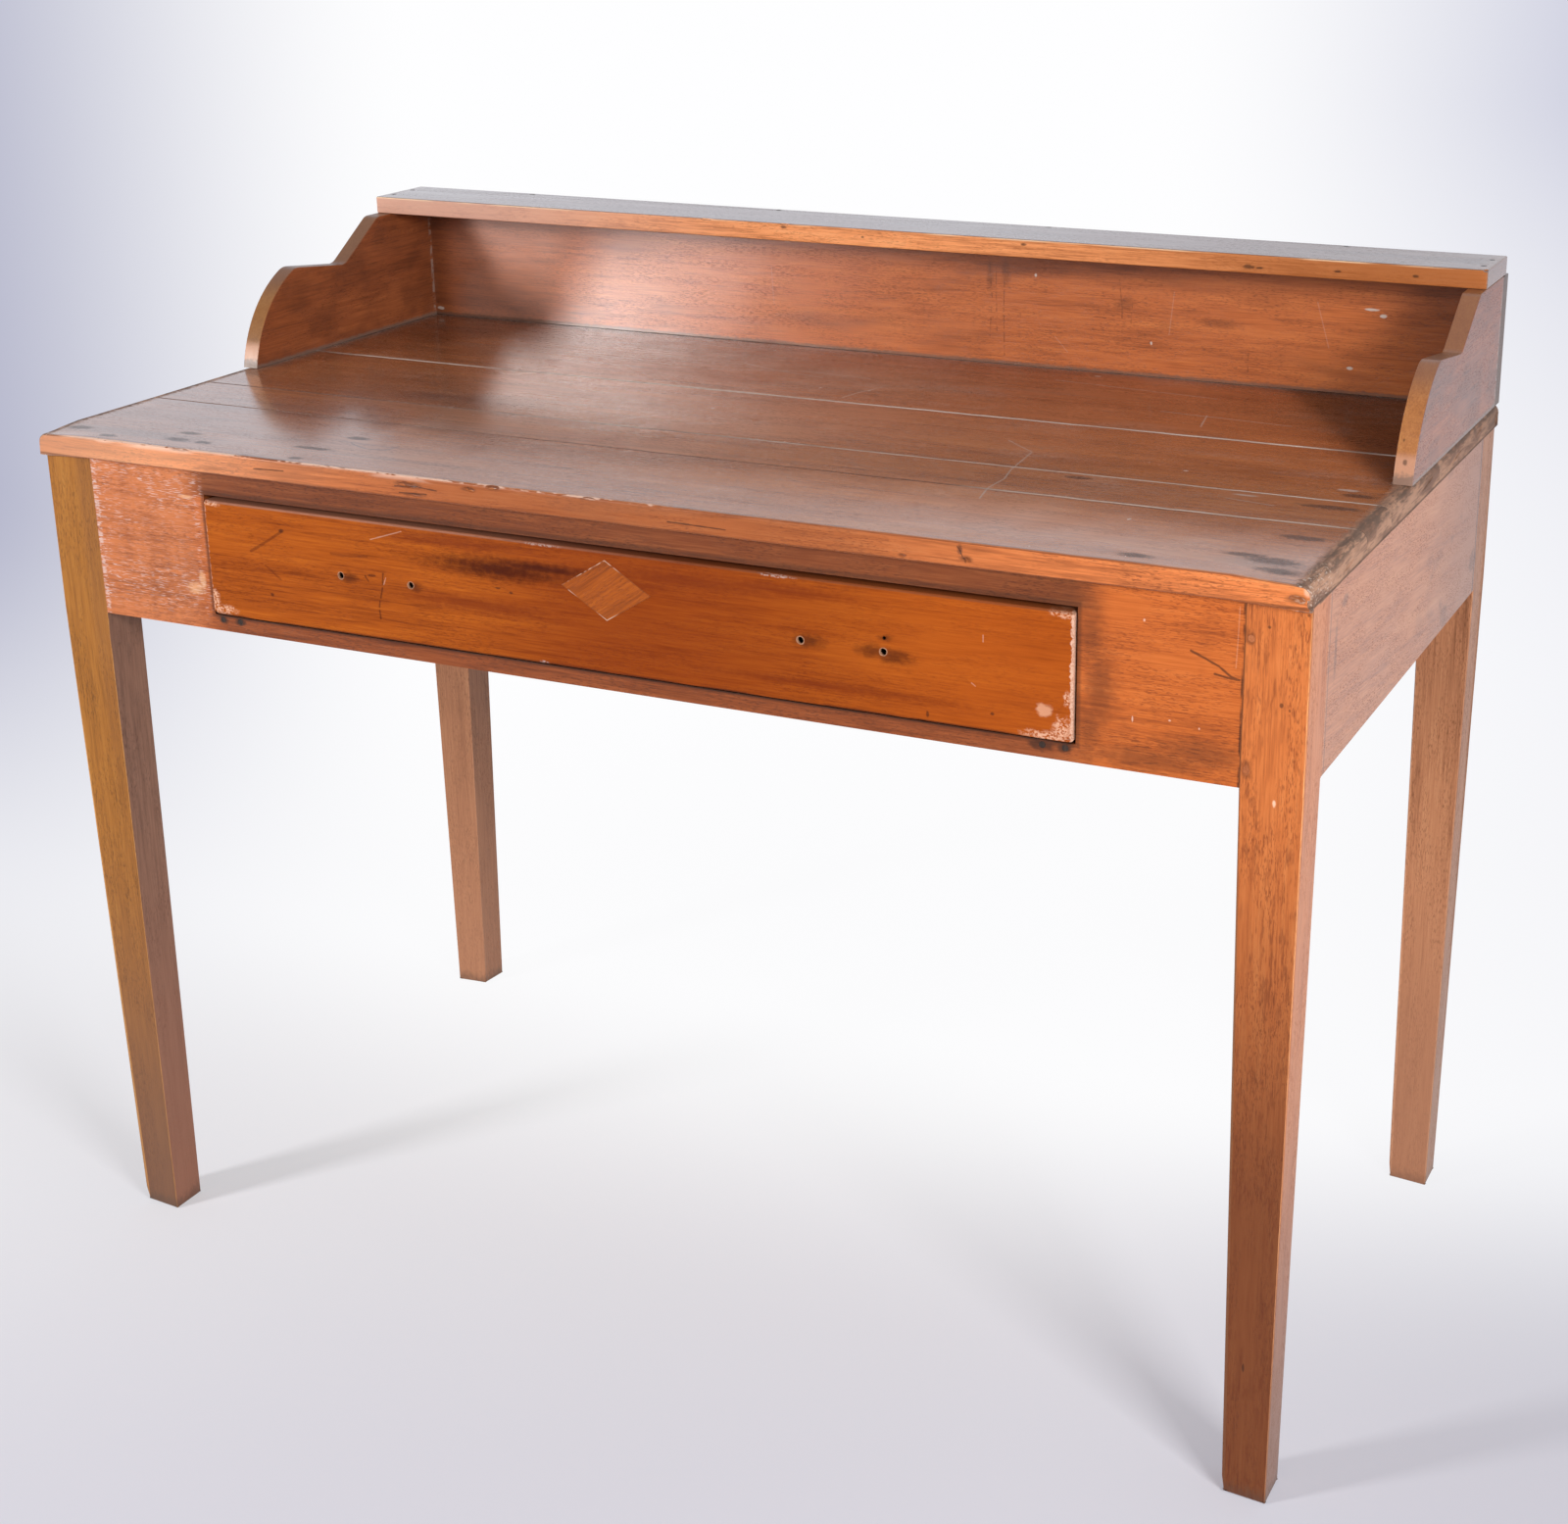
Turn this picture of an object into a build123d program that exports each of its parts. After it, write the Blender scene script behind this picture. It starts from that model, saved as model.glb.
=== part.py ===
from build123d import *
import os

# A country sewing desk: four tapered legs mortised to four aprons, a top of four boards,
# a low gallery with a narrow shelf at the back and one long drawer in the front apron.
# Millimetres. The origin is on the floor under the middle of the top, +X to the sitter's
# right, +Y to the back, +Z up.

os.makedirs("parts", exist_ok=True)

# --- top -------------------------------------------------------------------------------
TOP_WIDTH = 1127            # end to end
TOP_DEPTH = 594             # front edge to back edge
TOP_HEIGHT = 760            # floor to writing surface
TOP_THICKNESS = 20
FRONT_BOARD = 145           # board widths, from the front; the middle board takes the rest
NARROW_BOARD = 71
BACK_BOARD = 223
BOARD_SEAM = 0.4            # open crack between two boards
FRONT_ARRIS = 3             # rounding of the top's front edge and front corners
END_ARRIS = 5               # rounding of the board ends where hands wear them
COVERED_ARRIS = 1.2         # rounding of the board ends under the gallery

# --- frame -----------------------------------------------------------------------------
OVERHANG_LEFT = 5           # top beyond the frame on each side
OVERHANG_RIGHT = 1
OVERHANG_FRONT = 7
OVERHANG_BACK = 10
LEG_WIDTH = 48              # leg section beside the aprons
LEG_DEPTH = 42
FOOT_WIDTH = 36             # leg section on the floor
FOOT_DEPTH = 34
FOOT_INSET_X = 5            # foot's outer faces inside the leg's outer faces
FOOT_INSET_Y = 8
LEG_ARRIS = 1.5
APRON_HEIGHT = 139
APRON_THICKNESS = 20
TENON_THICKNESS = 8
TENON_SETBACK = 8           # apron's outer face to the tenon
TENON_SHOULDER = 8          # above and below the tenon
TENON_END_WOOD = 6          # wood left between the two tenons of a leg
MORTISE_CLEARANCE = 0.2
PEG_DIAMETER = 5
PEG_LENGTH = 24
PEG_INSET = 5               # peg to the leg's inner edge
PEG_BELOW_TOP = 27          # upper peg below the apron's top edge
PEG_ABOVE_EDGE = 14         # lower peg above the apron's bottom edge
ROUND_CLEARANCE = 0.1       # around pegs and nails

# --- drawer opening and drawer ---------------------------------------------------------
APRON_BLOCK = 123.5         # apron left between the opening and the right front leg
UPPER_RAIL = 20             # apron left above the opening
LOWER_RAIL = 14             # apron left below the opening
DRAWER_SIDE_GAP = 1.5
DRAWER_TOP_GAP = 3.5
DRAWER_FOOT_GAP = 1.5       # under the drawer front
DRAWER_PROUD = 3            # drawer front ahead of the apron
DRAWER_REAR_SPACE = 92      # drawer's back to the back apron
DRAWER_FRONT_THICKNESS = 19
DRAWER_SIDE_THICKNESS = 11
DRAWER_BACK_THICKNESS = 11
DRAWER_SIDE_DROP = 8        # side's top edge below the opening's top
DRAWER_ARRIS = 1.5
DRAWER_CORNER = 2.5         # rounding of the front's four corners
SLIDE_CLEARANCE = 0.3       # drawer side above its runner, and drawer back to its stop
BOTTOM_THICKNESS = 7
BOTTOM_RISE = 9             # panel's underside above the sides' bottom edges
GROOVE_DEPTH = 5
GROOVE_CLEARANCE = 0.2
DOVETAIL_COUNT = 3
DOVETAIL_LAP = 5            # front's wood left ahead of the half-blind tails
DOVETAIL_SLOPE = 0.16
TAIL_SHARE = 0.66           # tail's wide end as a share of the tails' pitch
DOVETAIL_CLEARANCE = 0.1
INLAY_WIDTH = 80.5          # lozenge let into the drawer front
INLAY_HEIGHT = 49.5
INLAY_THICKNESS = 2
INLAY_TOP_MARGIN = 7        # lozenge's upper point to the front's top edge
INLAY_CLEARANCE = 0.1
HANDLE_LEFT_X = -219        # middles of the two pairs of handle holes
HANDLE_RIGHT_X = 204
HANDLE_SPACING = 69
HANDLE_HOLE = 5.5

# --- drawer runners --------------------------------------------------------------------
RUNNER_WIDTH = 50
GUIDE_WIDTH = 14
GUIDE_HEIGHT = 20
STOP_LENGTH = 25
STOP_WIDTH = 30
STOP_HEIGHT = 16
GLUE_BLOCK = 18             # square section of the blocks under the top
GLUE_BLOCK_LENGTH = 60
SIDE_BLOCK_COUNT = 3        # glue blocks along each side apron

# --- gallery ---------------------------------------------------------------------------
GALLERY_INSET = 1           # gallery's ends inside the top's ends
GALLERY_RISE = 114          # writing surface to the shelf's underside
GALLERY_BACK_THICKNESS = 18
GALLERY_SIDE_THICKNESS = 16
GALLERY_SIDE_LENGTH = 296   # foot of the curve to the gallery back
SIDE_ARRIS = 0.8            # rounding along the side's sawn outline
LOBE_RUN = 70              # outline of the side: foot to the lobe's crest
LOBE_DROP = 29              # crest below the shelf
LOBE_BULGE = 14             # lobe's arc ahead of the straight from foot to crest
SADDLE_RUN = 147            # foot to the saddle
SADDLE_DROP = 38.5          # saddle below the shelf
NECK_RUN = 206              # foot to the neck under the shelf
CREST_RADIUS = 22
SADDLE_RADIUS = 16
NECK_RADIUS = 14
SHELF_DEPTH = 78
SHELF_THICKNESS = 16.5
SHELF_SETBACK = 8.5         # shelf's back edge ahead of the gallery's back face
SHELF_ARRIS = 1.5

# --- nails -----------------------------------------------------------------------------
NAIL_SHANK = 2.6
NAIL_HEAD = 5
NAIL_HEAD_THICKNESS = 1.2
RUNNER_NAIL_LENGTH = 50
RUNNER_NAIL_DROP = 4        # nail below the lower rail's top edge
RUNNER_NAIL_OUTER = 8       # outer nail inwards from the opening's side
RUNNER_NAIL_INNER = 10      # inner nail outwards from the runner's inner edge
SHELF_NAIL_LENGTH = 38
SHELF_NAIL_FRONT = 20       # back from the shelf's front edge
SHELF_NAIL_REAR = 16        # ahead of the gallery back
BACK_NAIL_LENGTH = 40
BACK_NAIL_INSET = 27        # above the writing surface, and below the shelf
FOOT_NAIL_LENGTH = 44
FOOT_NAIL_FRONT = 32        # back from the foot of each gallery side
FOOT_NAIL_COUNT = 3         # under each gallery side
GALLERY_BACK_COUNT = 4      # nails along the gallery back, above and below
DRAWER_NAIL_LENGTH = 25
DRAWER_NAIL_COUNT = 3

# --- places that follow ----------------------------------------------------------------
front_edge = -TOP_DEPTH / 2
back_edge = TOP_DEPTH / 2
top_underside = TOP_HEIGHT - TOP_THICKNESS
frame_x = {-1: -TOP_WIDTH / 2 + OVERHANG_LEFT, 1: TOP_WIDTH / 2 - OVERHANG_RIGHT}
frame_y = {-1: front_edge + OVERHANG_FRONT, 1: back_edge - OVERHANG_BACK}
side_names = {-1: "left", 1: "right"}
end_names = {-1: "front", 1: "back"}
apron_bottom = top_underside - APRON_HEIGHT
tenon_height = APRON_HEIGHT - 2 * TENON_SHOULDER
tenon_middle_z = apron_bottom + APRON_HEIGHT / 2
tenon_wall = TENON_SETBACK + TENON_THICKNESS + TENON_END_WOOD
tenon_length_x = LEG_WIDTH - tenon_wall
tenon_length_y = LEG_DEPTH - tenon_wall
apron_left_end = frame_x[-1] + LEG_WIDTH
apron_right_end = frame_x[1] - LEG_WIDTH
apron_front_end = frame_y[-1] + LEG_DEPTH
apron_back_end = frame_y[1] - LEG_DEPTH
opening_bottom = apron_bottom + LOWER_RAIL
opening_top = top_underside - UPPER_RAIL
opening_side = apron_right_end - APRON_BLOCK
rail_inside = frame_y[-1] + APRON_THICKNESS
back_rail_inside = frame_y[1] - APRON_THICKNESS

drawer_half = opening_side - DRAWER_SIDE_GAP
drawer_face = frame_y[-1] - DRAWER_PROUD
drawer_rear = back_rail_inside - DRAWER_REAR_SPACE
front_low = opening_bottom + DRAWER_FOOT_GAP
front_high = opening_top - DRAWER_TOP_GAP
side_low = opening_bottom + SLIDE_CLEARANCE
side_high = opening_top - DRAWER_SIDE_DROP
panel_low = side_low + BOTTOM_RISE
panel_high = panel_low + BOTTOM_THICKNESS
lap_face = drawer_face + DOVETAIL_LAP
front_inside = drawer_face + DRAWER_FRONT_THICKNESS
back_inside = drawer_rear - DRAWER_BACK_THICKNESS

guide_outside = opening_side + GUIDE_WIDTH
runner_inside = guide_outside - RUNNER_WIDTH

gallery_half = TOP_WIDTH / 2 - GALLERY_INSET
gallery_back_face = back_edge - GALLERY_BACK_THICKNESS
gallery_foot = gallery_back_face - GALLERY_SIDE_LENGTH
side_middle_x = gallery_half - GALLERY_SIDE_THICKNESS / 2
shelf_low = TOP_HEIGHT + GALLERY_RISE
shelf_high = shelf_low + SHELF_THICKNESS
shelf_back = back_edge - SHELF_SETBACK
shelf_front = shelf_back - SHELF_DEPTH

UP = (0, 0, 1)
DOWN = (0, 0, -1)
FORWARD = (0, -1, 0)        # towards the sitter
BACKWARD = (0, 1, 0)
BASE = (Align.CENTER, Align.CENTER, Align.MIN)


def nails(points, direction, length, clearance=0.0, mode=Mode.ADD):
    """Nails, or with Mode.SUBTRACT their holes: heads at the points, driven along direction."""
    with Locations(*[Plane(origin=point, z_dir=direction) for point in points]):
        Cylinder(NAIL_SHANK / 2 + clearance, length + clearance, align=BASE, mode=mode)
        Cylinder(NAIL_HEAD / 2 + clearance, NAIL_HEAD_THICKNESS + clearance, align=BASE, mode=mode)


def nail_holes(points, direction, length):
    """Holes for nails in the sub-part that is being built."""
    nails(points, direction, length, ROUND_CLEARANCE, Mode.SUBTRACT)


def pegs(points, clearance=0.0, mode=Mode.ADD):
    """Pegs, or their holes, driven from the front face of the front leg."""
    with Locations(*[Plane(origin=point, z_dir=BACKWARD) for point in points]):
        Cylinder(PEG_DIAMETER / 2 + clearance, PEG_LENGTH + clearance, align=BASE, mode=mode)


def box_between(low, high, mode=Mode.ADD):
    """Block between two opposite corners."""
    middle = [(a + b) / 2 for a, b in zip(low, high)]
    with Locations(tuple(middle)):
        Box(high[0] - low[0], high[1] - low[1], high[2] - low[2], mode=mode)


def tails(root_y, tip_y, low_z, high_z, clearance=0.0):
    """Row of dovetail tails in a YZ sketch, narrow at the root and wide at the tip."""
    pitch = (high_z - low_z) / DOVETAIL_COUNT
    out = 1 if tip_y > root_y else -1
    tip = tip_y + out * clearance
    tip_half = pitch * TAIL_SHARE / 2 + clearance
    root_half = tip_half - abs(tip_y - root_y) * DOVETAIL_SLOPE
    for index in range(DOVETAIL_COUNT):
        middle = low_z + pitch * (index + 0.5)
        corners = [(root_y, middle - root_half), (tip, middle - tip_half),
                   (tip, middle + tip_half), (root_y, middle + root_half)]
        Polygon(*corners, align=None)


def evenly(low, high, count):
    """Middles of equal shares of a length."""
    share = (high - low) / count
    return [low + share * (index + 0.5) for index in range(count)]


# --- places of the fasteners -----------------------------------------------------------
peg_x = apron_right_end + PEG_INSET
peg_points = [(peg_x, frame_y[-1], top_underside - PEG_BELOW_TOP),
              (peg_x, frame_y[-1], apron_bottom + PEG_ABOVE_EDGE)]
runner_nail_z = opening_bottom - RUNNER_NAIL_DROP
runner_nail_x = (opening_side - RUNNER_NAIL_OUTER, runner_inside + RUNNER_NAIL_INNER)
front_runner_points = {}
back_runner_points = {}
shelf_side_points = {}
gallery_end_points = {}
foot_side_points = {}
foot_step = (GALLERY_SIDE_LENGTH - FOOT_NAIL_FRONT) / FOOT_NAIL_COUNT
for side in (-1, 1):
    front_runner_points[side] = [(side * x, frame_y[-1], runner_nail_z) for x in runner_nail_x]
    back_runner_points[side] = [(side * x, frame_y[1], runner_nail_z) for x in runner_nail_x]
    side_nail_x = side * side_middle_x
    shelf_side_points[side] = [(side_nail_x, shelf_front + SHELF_NAIL_FRONT, shelf_high),
                               (side_nail_x, gallery_back_face - SHELF_NAIL_REAR, shelf_high)]
    gallery_end_points[side] = [(side_nail_x, back_edge, TOP_HEIGHT + BACK_NAIL_INSET),
                                (side_nail_x, back_edge, shelf_low - BACK_NAIL_INSET)]
    foot_side_points[side] = [(side_nail_x, gallery_foot + FOOT_NAIL_FRONT + foot_step * index, top_underside)
                              for index in range(FOOT_NAIL_COUNT)]
back_nail_x = evenly(-gallery_half, gallery_half, GALLERY_BACK_COUNT)
shelf_back_points = [(x, (gallery_back_face + shelf_back) / 2, shelf_high) for x in back_nail_x]
foot_back_points = [(x, (gallery_back_face + back_edge) / 2, top_underside) for x in back_nail_x]
drawer_nail_points = [(x, (back_inside + drawer_rear) / 2, panel_low)
                      for x in evenly(-drawer_half, drawer_half, DRAWER_NAIL_COUNT)]

# --- legs ------------------------------------------------------------------------------
# Square beside the aprons, then tapered on all faces down to the foot. Each takes the
# tenon of a long apron in its inner side and that of a short apron in its other inner side.
for side in (-1, 1):
    for end in (-1, 1):
        outer_x = frame_x[side]
        outer_y = frame_y[end]
        with BuildPart() as leg:
            with BuildSketch(Plane.XY):
                with Locations((outer_x - side * (FOOT_INSET_X + FOOT_WIDTH / 2),
                                outer_y - end * (FOOT_INSET_Y + FOOT_DEPTH / 2))):
                    Rectangle(FOOT_WIDTH, FOOT_DEPTH)
            block_centre = (outer_x - side * LEG_WIDTH / 2, outer_y - end * LEG_DEPTH / 2)
            with BuildSketch(Plane.XY.offset(apron_bottom)):
                with Locations(block_centre):
                    Rectangle(LEG_WIDTH, LEG_DEPTH)
            loft()
            long_edges = [edge for edge in leg.edges() if edge.length >= apron_bottom]
            fillet(long_edges, LEG_ARRIS)
            with BuildSketch(Plane.XY.offset(apron_bottom)) as block:
                with Locations(block_centre):
                    Rectangle(LEG_WIDTH, LEG_DEPTH)
                fillet(block.vertices().sort_by_distance((outer_x, outer_y))[0], LEG_ARRIS)
            extrude(amount=APRON_HEIGHT)
            with BuildSketch(Plane.YZ.offset(outer_x - side * LEG_WIDTH)):
                with Locations((outer_y - end * (TENON_SETBACK + TENON_THICKNESS / 2), tenon_middle_z)):
                    Rectangle(TENON_THICKNESS + 2 * MORTISE_CLEARANCE, tenon_height + 2 * MORTISE_CLEARANCE)
            extrude(amount=side * (tenon_length_x + MORTISE_CLEARANCE), mode=Mode.SUBTRACT)
            with BuildSketch(Plane.XZ.offset(-(outer_y - end * LEG_DEPTH))):
                with Locations((outer_x - side * (TENON_SETBACK + TENON_THICKNESS / 2), tenon_middle_z)):
                    Rectangle(TENON_THICKNESS + 2 * MORTISE_CLEARANCE, tenon_height + 2 * MORTISE_CLEARANCE)
            extrude(amount=-end * (tenon_length_y + MORTISE_CLEARANCE), mode=Mode.SUBTRACT)
            if (side, end) == (1, -1):
                pegs(peg_points, ROUND_CLEARANCE, Mode.SUBTRACT)
        leg_name = f"leg_{end_names[end]}_{side_names[side]}"
        leg.part.label = leg_name
        export_step(leg.part, f"parts/{leg_name}.step")

# --- front apron -----------------------------------------------------------------------
# One board with a sawn rectangular opening for the drawer, tenoned into the front legs.
apron_length = apron_right_end - apron_left_end
apron_middle_x = (apron_left_end + apron_right_end) / 2
with BuildPart() as apron_front:
    with BuildSketch(Plane.XZ.offset(-frame_y[-1])):
        with Locations((apron_middle_x, tenon_middle_z)):
            Rectangle(apron_length, APRON_HEIGHT)
        with Locations((0, (opening_bottom + opening_top) / 2)):
            Rectangle(2 * opening_side, opening_top - opening_bottom, mode=Mode.SUBTRACT)
    extrude(amount=-APRON_THICKNESS)
    for side, root in ((-1, apron_left_end), (1, apron_right_end)):
        with BuildSketch(Plane.YZ.offset(root)):
            with Locations((frame_y[-1] + TENON_SETBACK + TENON_THICKNESS / 2, tenon_middle_z)):
                Rectangle(TENON_THICKNESS, tenon_height)
        extrude(amount=side * tenon_length_x)
    nail_holes(front_runner_points[-1] + front_runner_points[1], BACKWARD, RUNNER_NAIL_LENGTH)
    pegs(peg_points, ROUND_CLEARANCE, Mode.SUBTRACT)
apron_front.part.label = "apron_front"
export_step(apron_front.part, "parts/apron_front.step")

# --- back apron ------------------------------------------------------------------------
# Plain board tenoned into the back legs.
with BuildPart() as apron_back:
    with BuildSketch(Plane.XZ.offset(-frame_y[1])):
        with Locations((apron_middle_x, tenon_middle_z)):
            Rectangle(apron_length, APRON_HEIGHT)
    extrude(amount=APRON_THICKNESS)
    for side, root in ((-1, apron_left_end), (1, apron_right_end)):
        with BuildSketch(Plane.YZ.offset(root)):
            with Locations((frame_y[1] - TENON_SETBACK - TENON_THICKNESS / 2, tenon_middle_z)):
                Rectangle(TENON_THICKNESS, tenon_height)
        extrude(amount=side * tenon_length_x)
    nail_holes(back_runner_points[-1] + back_runner_points[1], FORWARD, RUNNER_NAIL_LENGTH)
apron_back.part.label = "apron_back"
export_step(apron_back.part, "parts/apron_back.step")

# --- side aprons -----------------------------------------------------------------------
# Short boards flush with the legs' outer faces, tenoned into a front and a back leg.
for side in (-1, 1):
    with BuildPart() as apron_side:
        with BuildSketch(Plane.YZ.offset(frame_x[side])):
            with Locations(((apron_front_end + apron_back_end) / 2, tenon_middle_z)):
                Rectangle(apron_back_end - apron_front_end, APRON_HEIGHT)
        extrude(amount=-side * APRON_THICKNESS)
        with BuildSketch(Plane.YZ.offset(frame_x[side] - side * TENON_SETBACK)):
            with Locations(((apron_front_end + apron_back_end) / 2, tenon_middle_z)):
                Rectangle(apron_back_end - apron_front_end + 2 * tenon_length_y, tenon_height)
        extrude(amount=-side * TENON_THICKNESS)
    apron_name = f"apron_{side_names[side]}"
    apron_side.part.label = apron_name
    export_step(apron_side.part, f"parts/{apron_name}.step")

# --- pegs ------------------------------------------------------------------------------
# Wooden pegs through the right front leg and the front apron's tenon.
with BuildPart() as apron_pegs:
    pegs(peg_points)
apron_pegs.part.label = "apron_pegs"
export_step(apron_pegs.part, "parts/apron_pegs.step")

# --- top boards ------------------------------------------------------------------------
# Four boards edge to edge, their grain along the desk. The gallery's nails come up
# through the two at the back.
middle_board = TOP_DEPTH - FRONT_BOARD - NARROW_BOARD - BACK_BOARD
board_start = front_edge
for board, width in (("front", FRONT_BOARD), ("narrow", NARROW_BOARD),
                     ("middle", middle_board), ("back", BACK_BOARD)):
    board_end = board_start + width
    front_gap = 0 if board == "front" else BOARD_SEAM
    with BuildPart() as top_board:
        with BuildSketch(Plane.XY.offset(top_underside)):
            with Locations((0, (board_start + front_gap + board_end) / 2)):
                Rectangle(TOP_WIDTH, width - front_gap)
        extrude(amount=TOP_THICKNESS)
        if board == "front":
            fillet(top_board.edges().filter_by(Axis.Z).group_by(Axis.Y)[0], END_ARRIS)
            top_face = top_board.faces().sort_by(Axis.Z)[-1]
            fillet(top_face.edges().sort_by(Axis.Y)[:-1], FRONT_ARRIS)
        else:
            arris = END_ARRIS if board == "narrow" else COVERED_ARRIS
            fillet(top_board.edges().filter_by(Axis.Y).group_by(Axis.Z)[-1], arris)
        board_nails = [point for point in foot_side_points[-1] + foot_side_points[1] + foot_back_points
                       if board_start - NAIL_HEAD < point[1] < board_end + NAIL_HEAD]
        if board_nails:
            nail_holes(board_nails, UP, FOOT_NAIL_LENGTH)
    board_name = f"top_board_{board}"
    top_board.part.label = board_name
    export_step(top_board.part, f"parts/{board_name}.step")
    board_start = board_end

# --- gallery sides ---------------------------------------------------------------------
# Sawn to a round lobe, a shallow saddle and a slanting neck that carries the shelf.
foot = (gallery_foot, TOP_HEIGHT)
crest = (gallery_foot + LOBE_RUN, shelf_low - LOBE_DROP)
saddle = (gallery_foot + SADDLE_RUN, shelf_low - SADDLE_DROP)
neck = (gallery_foot + NECK_RUN, shelf_low)
for side in (-1, 1):
    with BuildPart() as gallery_side:
        with BuildSketch(Plane.YZ.offset(side * gallery_half)) as side_outline:
            with BuildLine():
                SagittaArc(foot, crest, LOBE_BULGE)
                Polyline(crest, saddle, neck, (gallery_back_face, shelf_low),
                         (gallery_back_face, TOP_HEIGHT), foot)
            make_face()
            for corner, radius in ((crest, CREST_RADIUS), (saddle, SADDLE_RADIUS), (neck, NECK_RADIUS)):
                fillet(side_outline.vertices().sort_by_distance(corner)[0], radius)
        extrude(amount=-side * GALLERY_SIDE_THICKNESS)
        arrises = [edge for face in gallery_side.faces().filter_by(Axis.X) for edge in face.edges()
                   if edge.center().Y < gallery_back_face - SIDE_ARRIS
                   and edge.center().Z > TOP_HEIGHT + SIDE_ARRIS]
        fillet(arrises, SIDE_ARRIS)
        nail_holes(foot_side_points[side], UP, FOOT_NAIL_LENGTH)
        nail_holes(gallery_end_points[side], FORWARD, BACK_NAIL_LENGTH)
        nail_holes(shelf_side_points[side], DOWN, SHELF_NAIL_LENGTH)
    gallery_name = f"gallery_side_{side_names[side]}"
    gallery_side.part.label = gallery_name
    export_step(gallery_side.part, f"parts/{gallery_name}.step")

# --- gallery back ----------------------------------------------------------------------
# Board on edge behind the sides, as long as the gallery.
with BuildPart() as gallery_back:
    box_between((-gallery_half, gallery_back_face, TOP_HEIGHT), (gallery_half, back_edge, shelf_low))
    nail_holes(gallery_end_points[-1] + gallery_end_points[1], FORWARD, BACK_NAIL_LENGTH)
    nail_holes(foot_back_points, UP, FOOT_NAIL_LENGTH)
    nail_holes(shelf_back_points, DOWN, SHELF_NAIL_LENGTH)
gallery_back.part.label = "gallery_back"
export_step(gallery_back.part, "parts/gallery_back.step")

# --- gallery shelf ---------------------------------------------------------------------
# Narrow board laid on the sides and the back, its arrises rubbed round.
with BuildPart() as gallery_shelf:
    box_between((-gallery_half, shelf_front, shelf_low), (gallery_half, shelf_back, shelf_high))
    fillet(gallery_shelf.edges(), SHELF_ARRIS)
    nail_holes(shelf_side_points[-1] + shelf_side_points[1] + shelf_back_points, DOWN, SHELF_NAIL_LENGTH)
gallery_shelf.part.label = "gallery_shelf"
export_step(gallery_shelf.part, "parts/gallery_shelf.step")

# --- nails -----------------------------------------------------------------------------
# Cut nails with flush heads, one group for each job.
with BuildPart() as shelf_nails:
    nails(shelf_side_points[-1] + shelf_side_points[1] + shelf_back_points, DOWN, SHELF_NAIL_LENGTH)
shelf_nails.part.label = "shelf_nails"
export_step(shelf_nails.part, "parts/shelf_nails.step")

with BuildPart() as gallery_back_nails:
    nails(gallery_end_points[-1] + gallery_end_points[1], FORWARD, BACK_NAIL_LENGTH)
gallery_back_nails.part.label = "gallery_back_nails"
export_step(gallery_back_nails.part, "parts/gallery_back_nails.step")

with BuildPart() as gallery_foot_nails:
    nails(foot_side_points[-1] + foot_side_points[1] + foot_back_points, UP, FOOT_NAIL_LENGTH)
gallery_foot_nails.part.label = "gallery_foot_nails"
export_step(gallery_foot_nails.part, "parts/gallery_foot_nails.step")

with BuildPart() as runner_nails:
    nails(front_runner_points[-1] + front_runner_points[1], BACKWARD, RUNNER_NAIL_LENGTH)
    nails(back_runner_points[-1] + back_runner_points[1], FORWARD, RUNNER_NAIL_LENGTH)
runner_nails.part.label = "runner_nails"
export_step(runner_nails.part, "parts/runner_nails.step")

with BuildPart() as drawer_bottom_nails:
    nails(drawer_nail_points, UP, DRAWER_NAIL_LENGTH)
drawer_bottom_nails.part.label = "drawer_bottom_nails"
export_step(drawer_bottom_nails.part, "parts/drawer_bottom_nails.step")

# --- drawer runners, guides and kickers ------------------------------------------------
# Runner: carries the drawer side, nailed through both long aprons. Guide: strip on the
# runner beside the drawer. Kicker: strip under the top that keeps the drawer level.
for side in (-1, 1):
    low_x, high_x = sorted((side * runner_inside, side * guide_outside))
    with BuildPart() as runner:
        box_between((low_x, rail_inside, apron_bottom), (high_x, back_rail_inside, opening_bottom))
        nail_holes(front_runner_points[side], BACKWARD, RUNNER_NAIL_LENGTH)
        nail_holes(back_runner_points[side], FORWARD, RUNNER_NAIL_LENGTH)
    runner_name = f"drawer_runner_{side_names[side]}"
    runner.part.label = runner_name
    export_step(runner.part, f"parts/{runner_name}.step")

    with BuildPart() as kicker:
        box_between((low_x, rail_inside, opening_top), (high_x, back_rail_inside, top_underside))
    kicker_name = f"drawer_kicker_{side_names[side]}"
    kicker.part.label = kicker_name
    export_step(kicker.part, f"parts/{kicker_name}.step")

    low_x, high_x = sorted((side * opening_side, side * guide_outside))
    with BuildPart() as guide:
        box_between((low_x, rail_inside, opening_bottom),
                    (high_x, back_rail_inside, opening_bottom + GUIDE_HEIGHT))
    guide_name = f"drawer_guide_{side_names[side]}"
    guide.part.label = guide_name
    export_step(guide.part, f"parts/{guide_name}.step")

# --- drawer stops ----------------------------------------------------------------------
# Blocks glued on the runners behind the drawer.
stop_front = drawer_rear + SLIDE_CLEARANCE
with BuildPart() as drawer_stops:
    for side in (-1, 1):
        low_x, high_x = sorted((side * (opening_side - STOP_WIDTH), side * opening_side))
        box_between((low_x, stop_front, opening_bottom),
                    (high_x, stop_front + STOP_LENGTH, opening_bottom + STOP_HEIGHT))
drawer_stops.part.label = "drawer_stops"
export_step(drawer_stops.part, "parts/drawer_stops.step")

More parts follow.
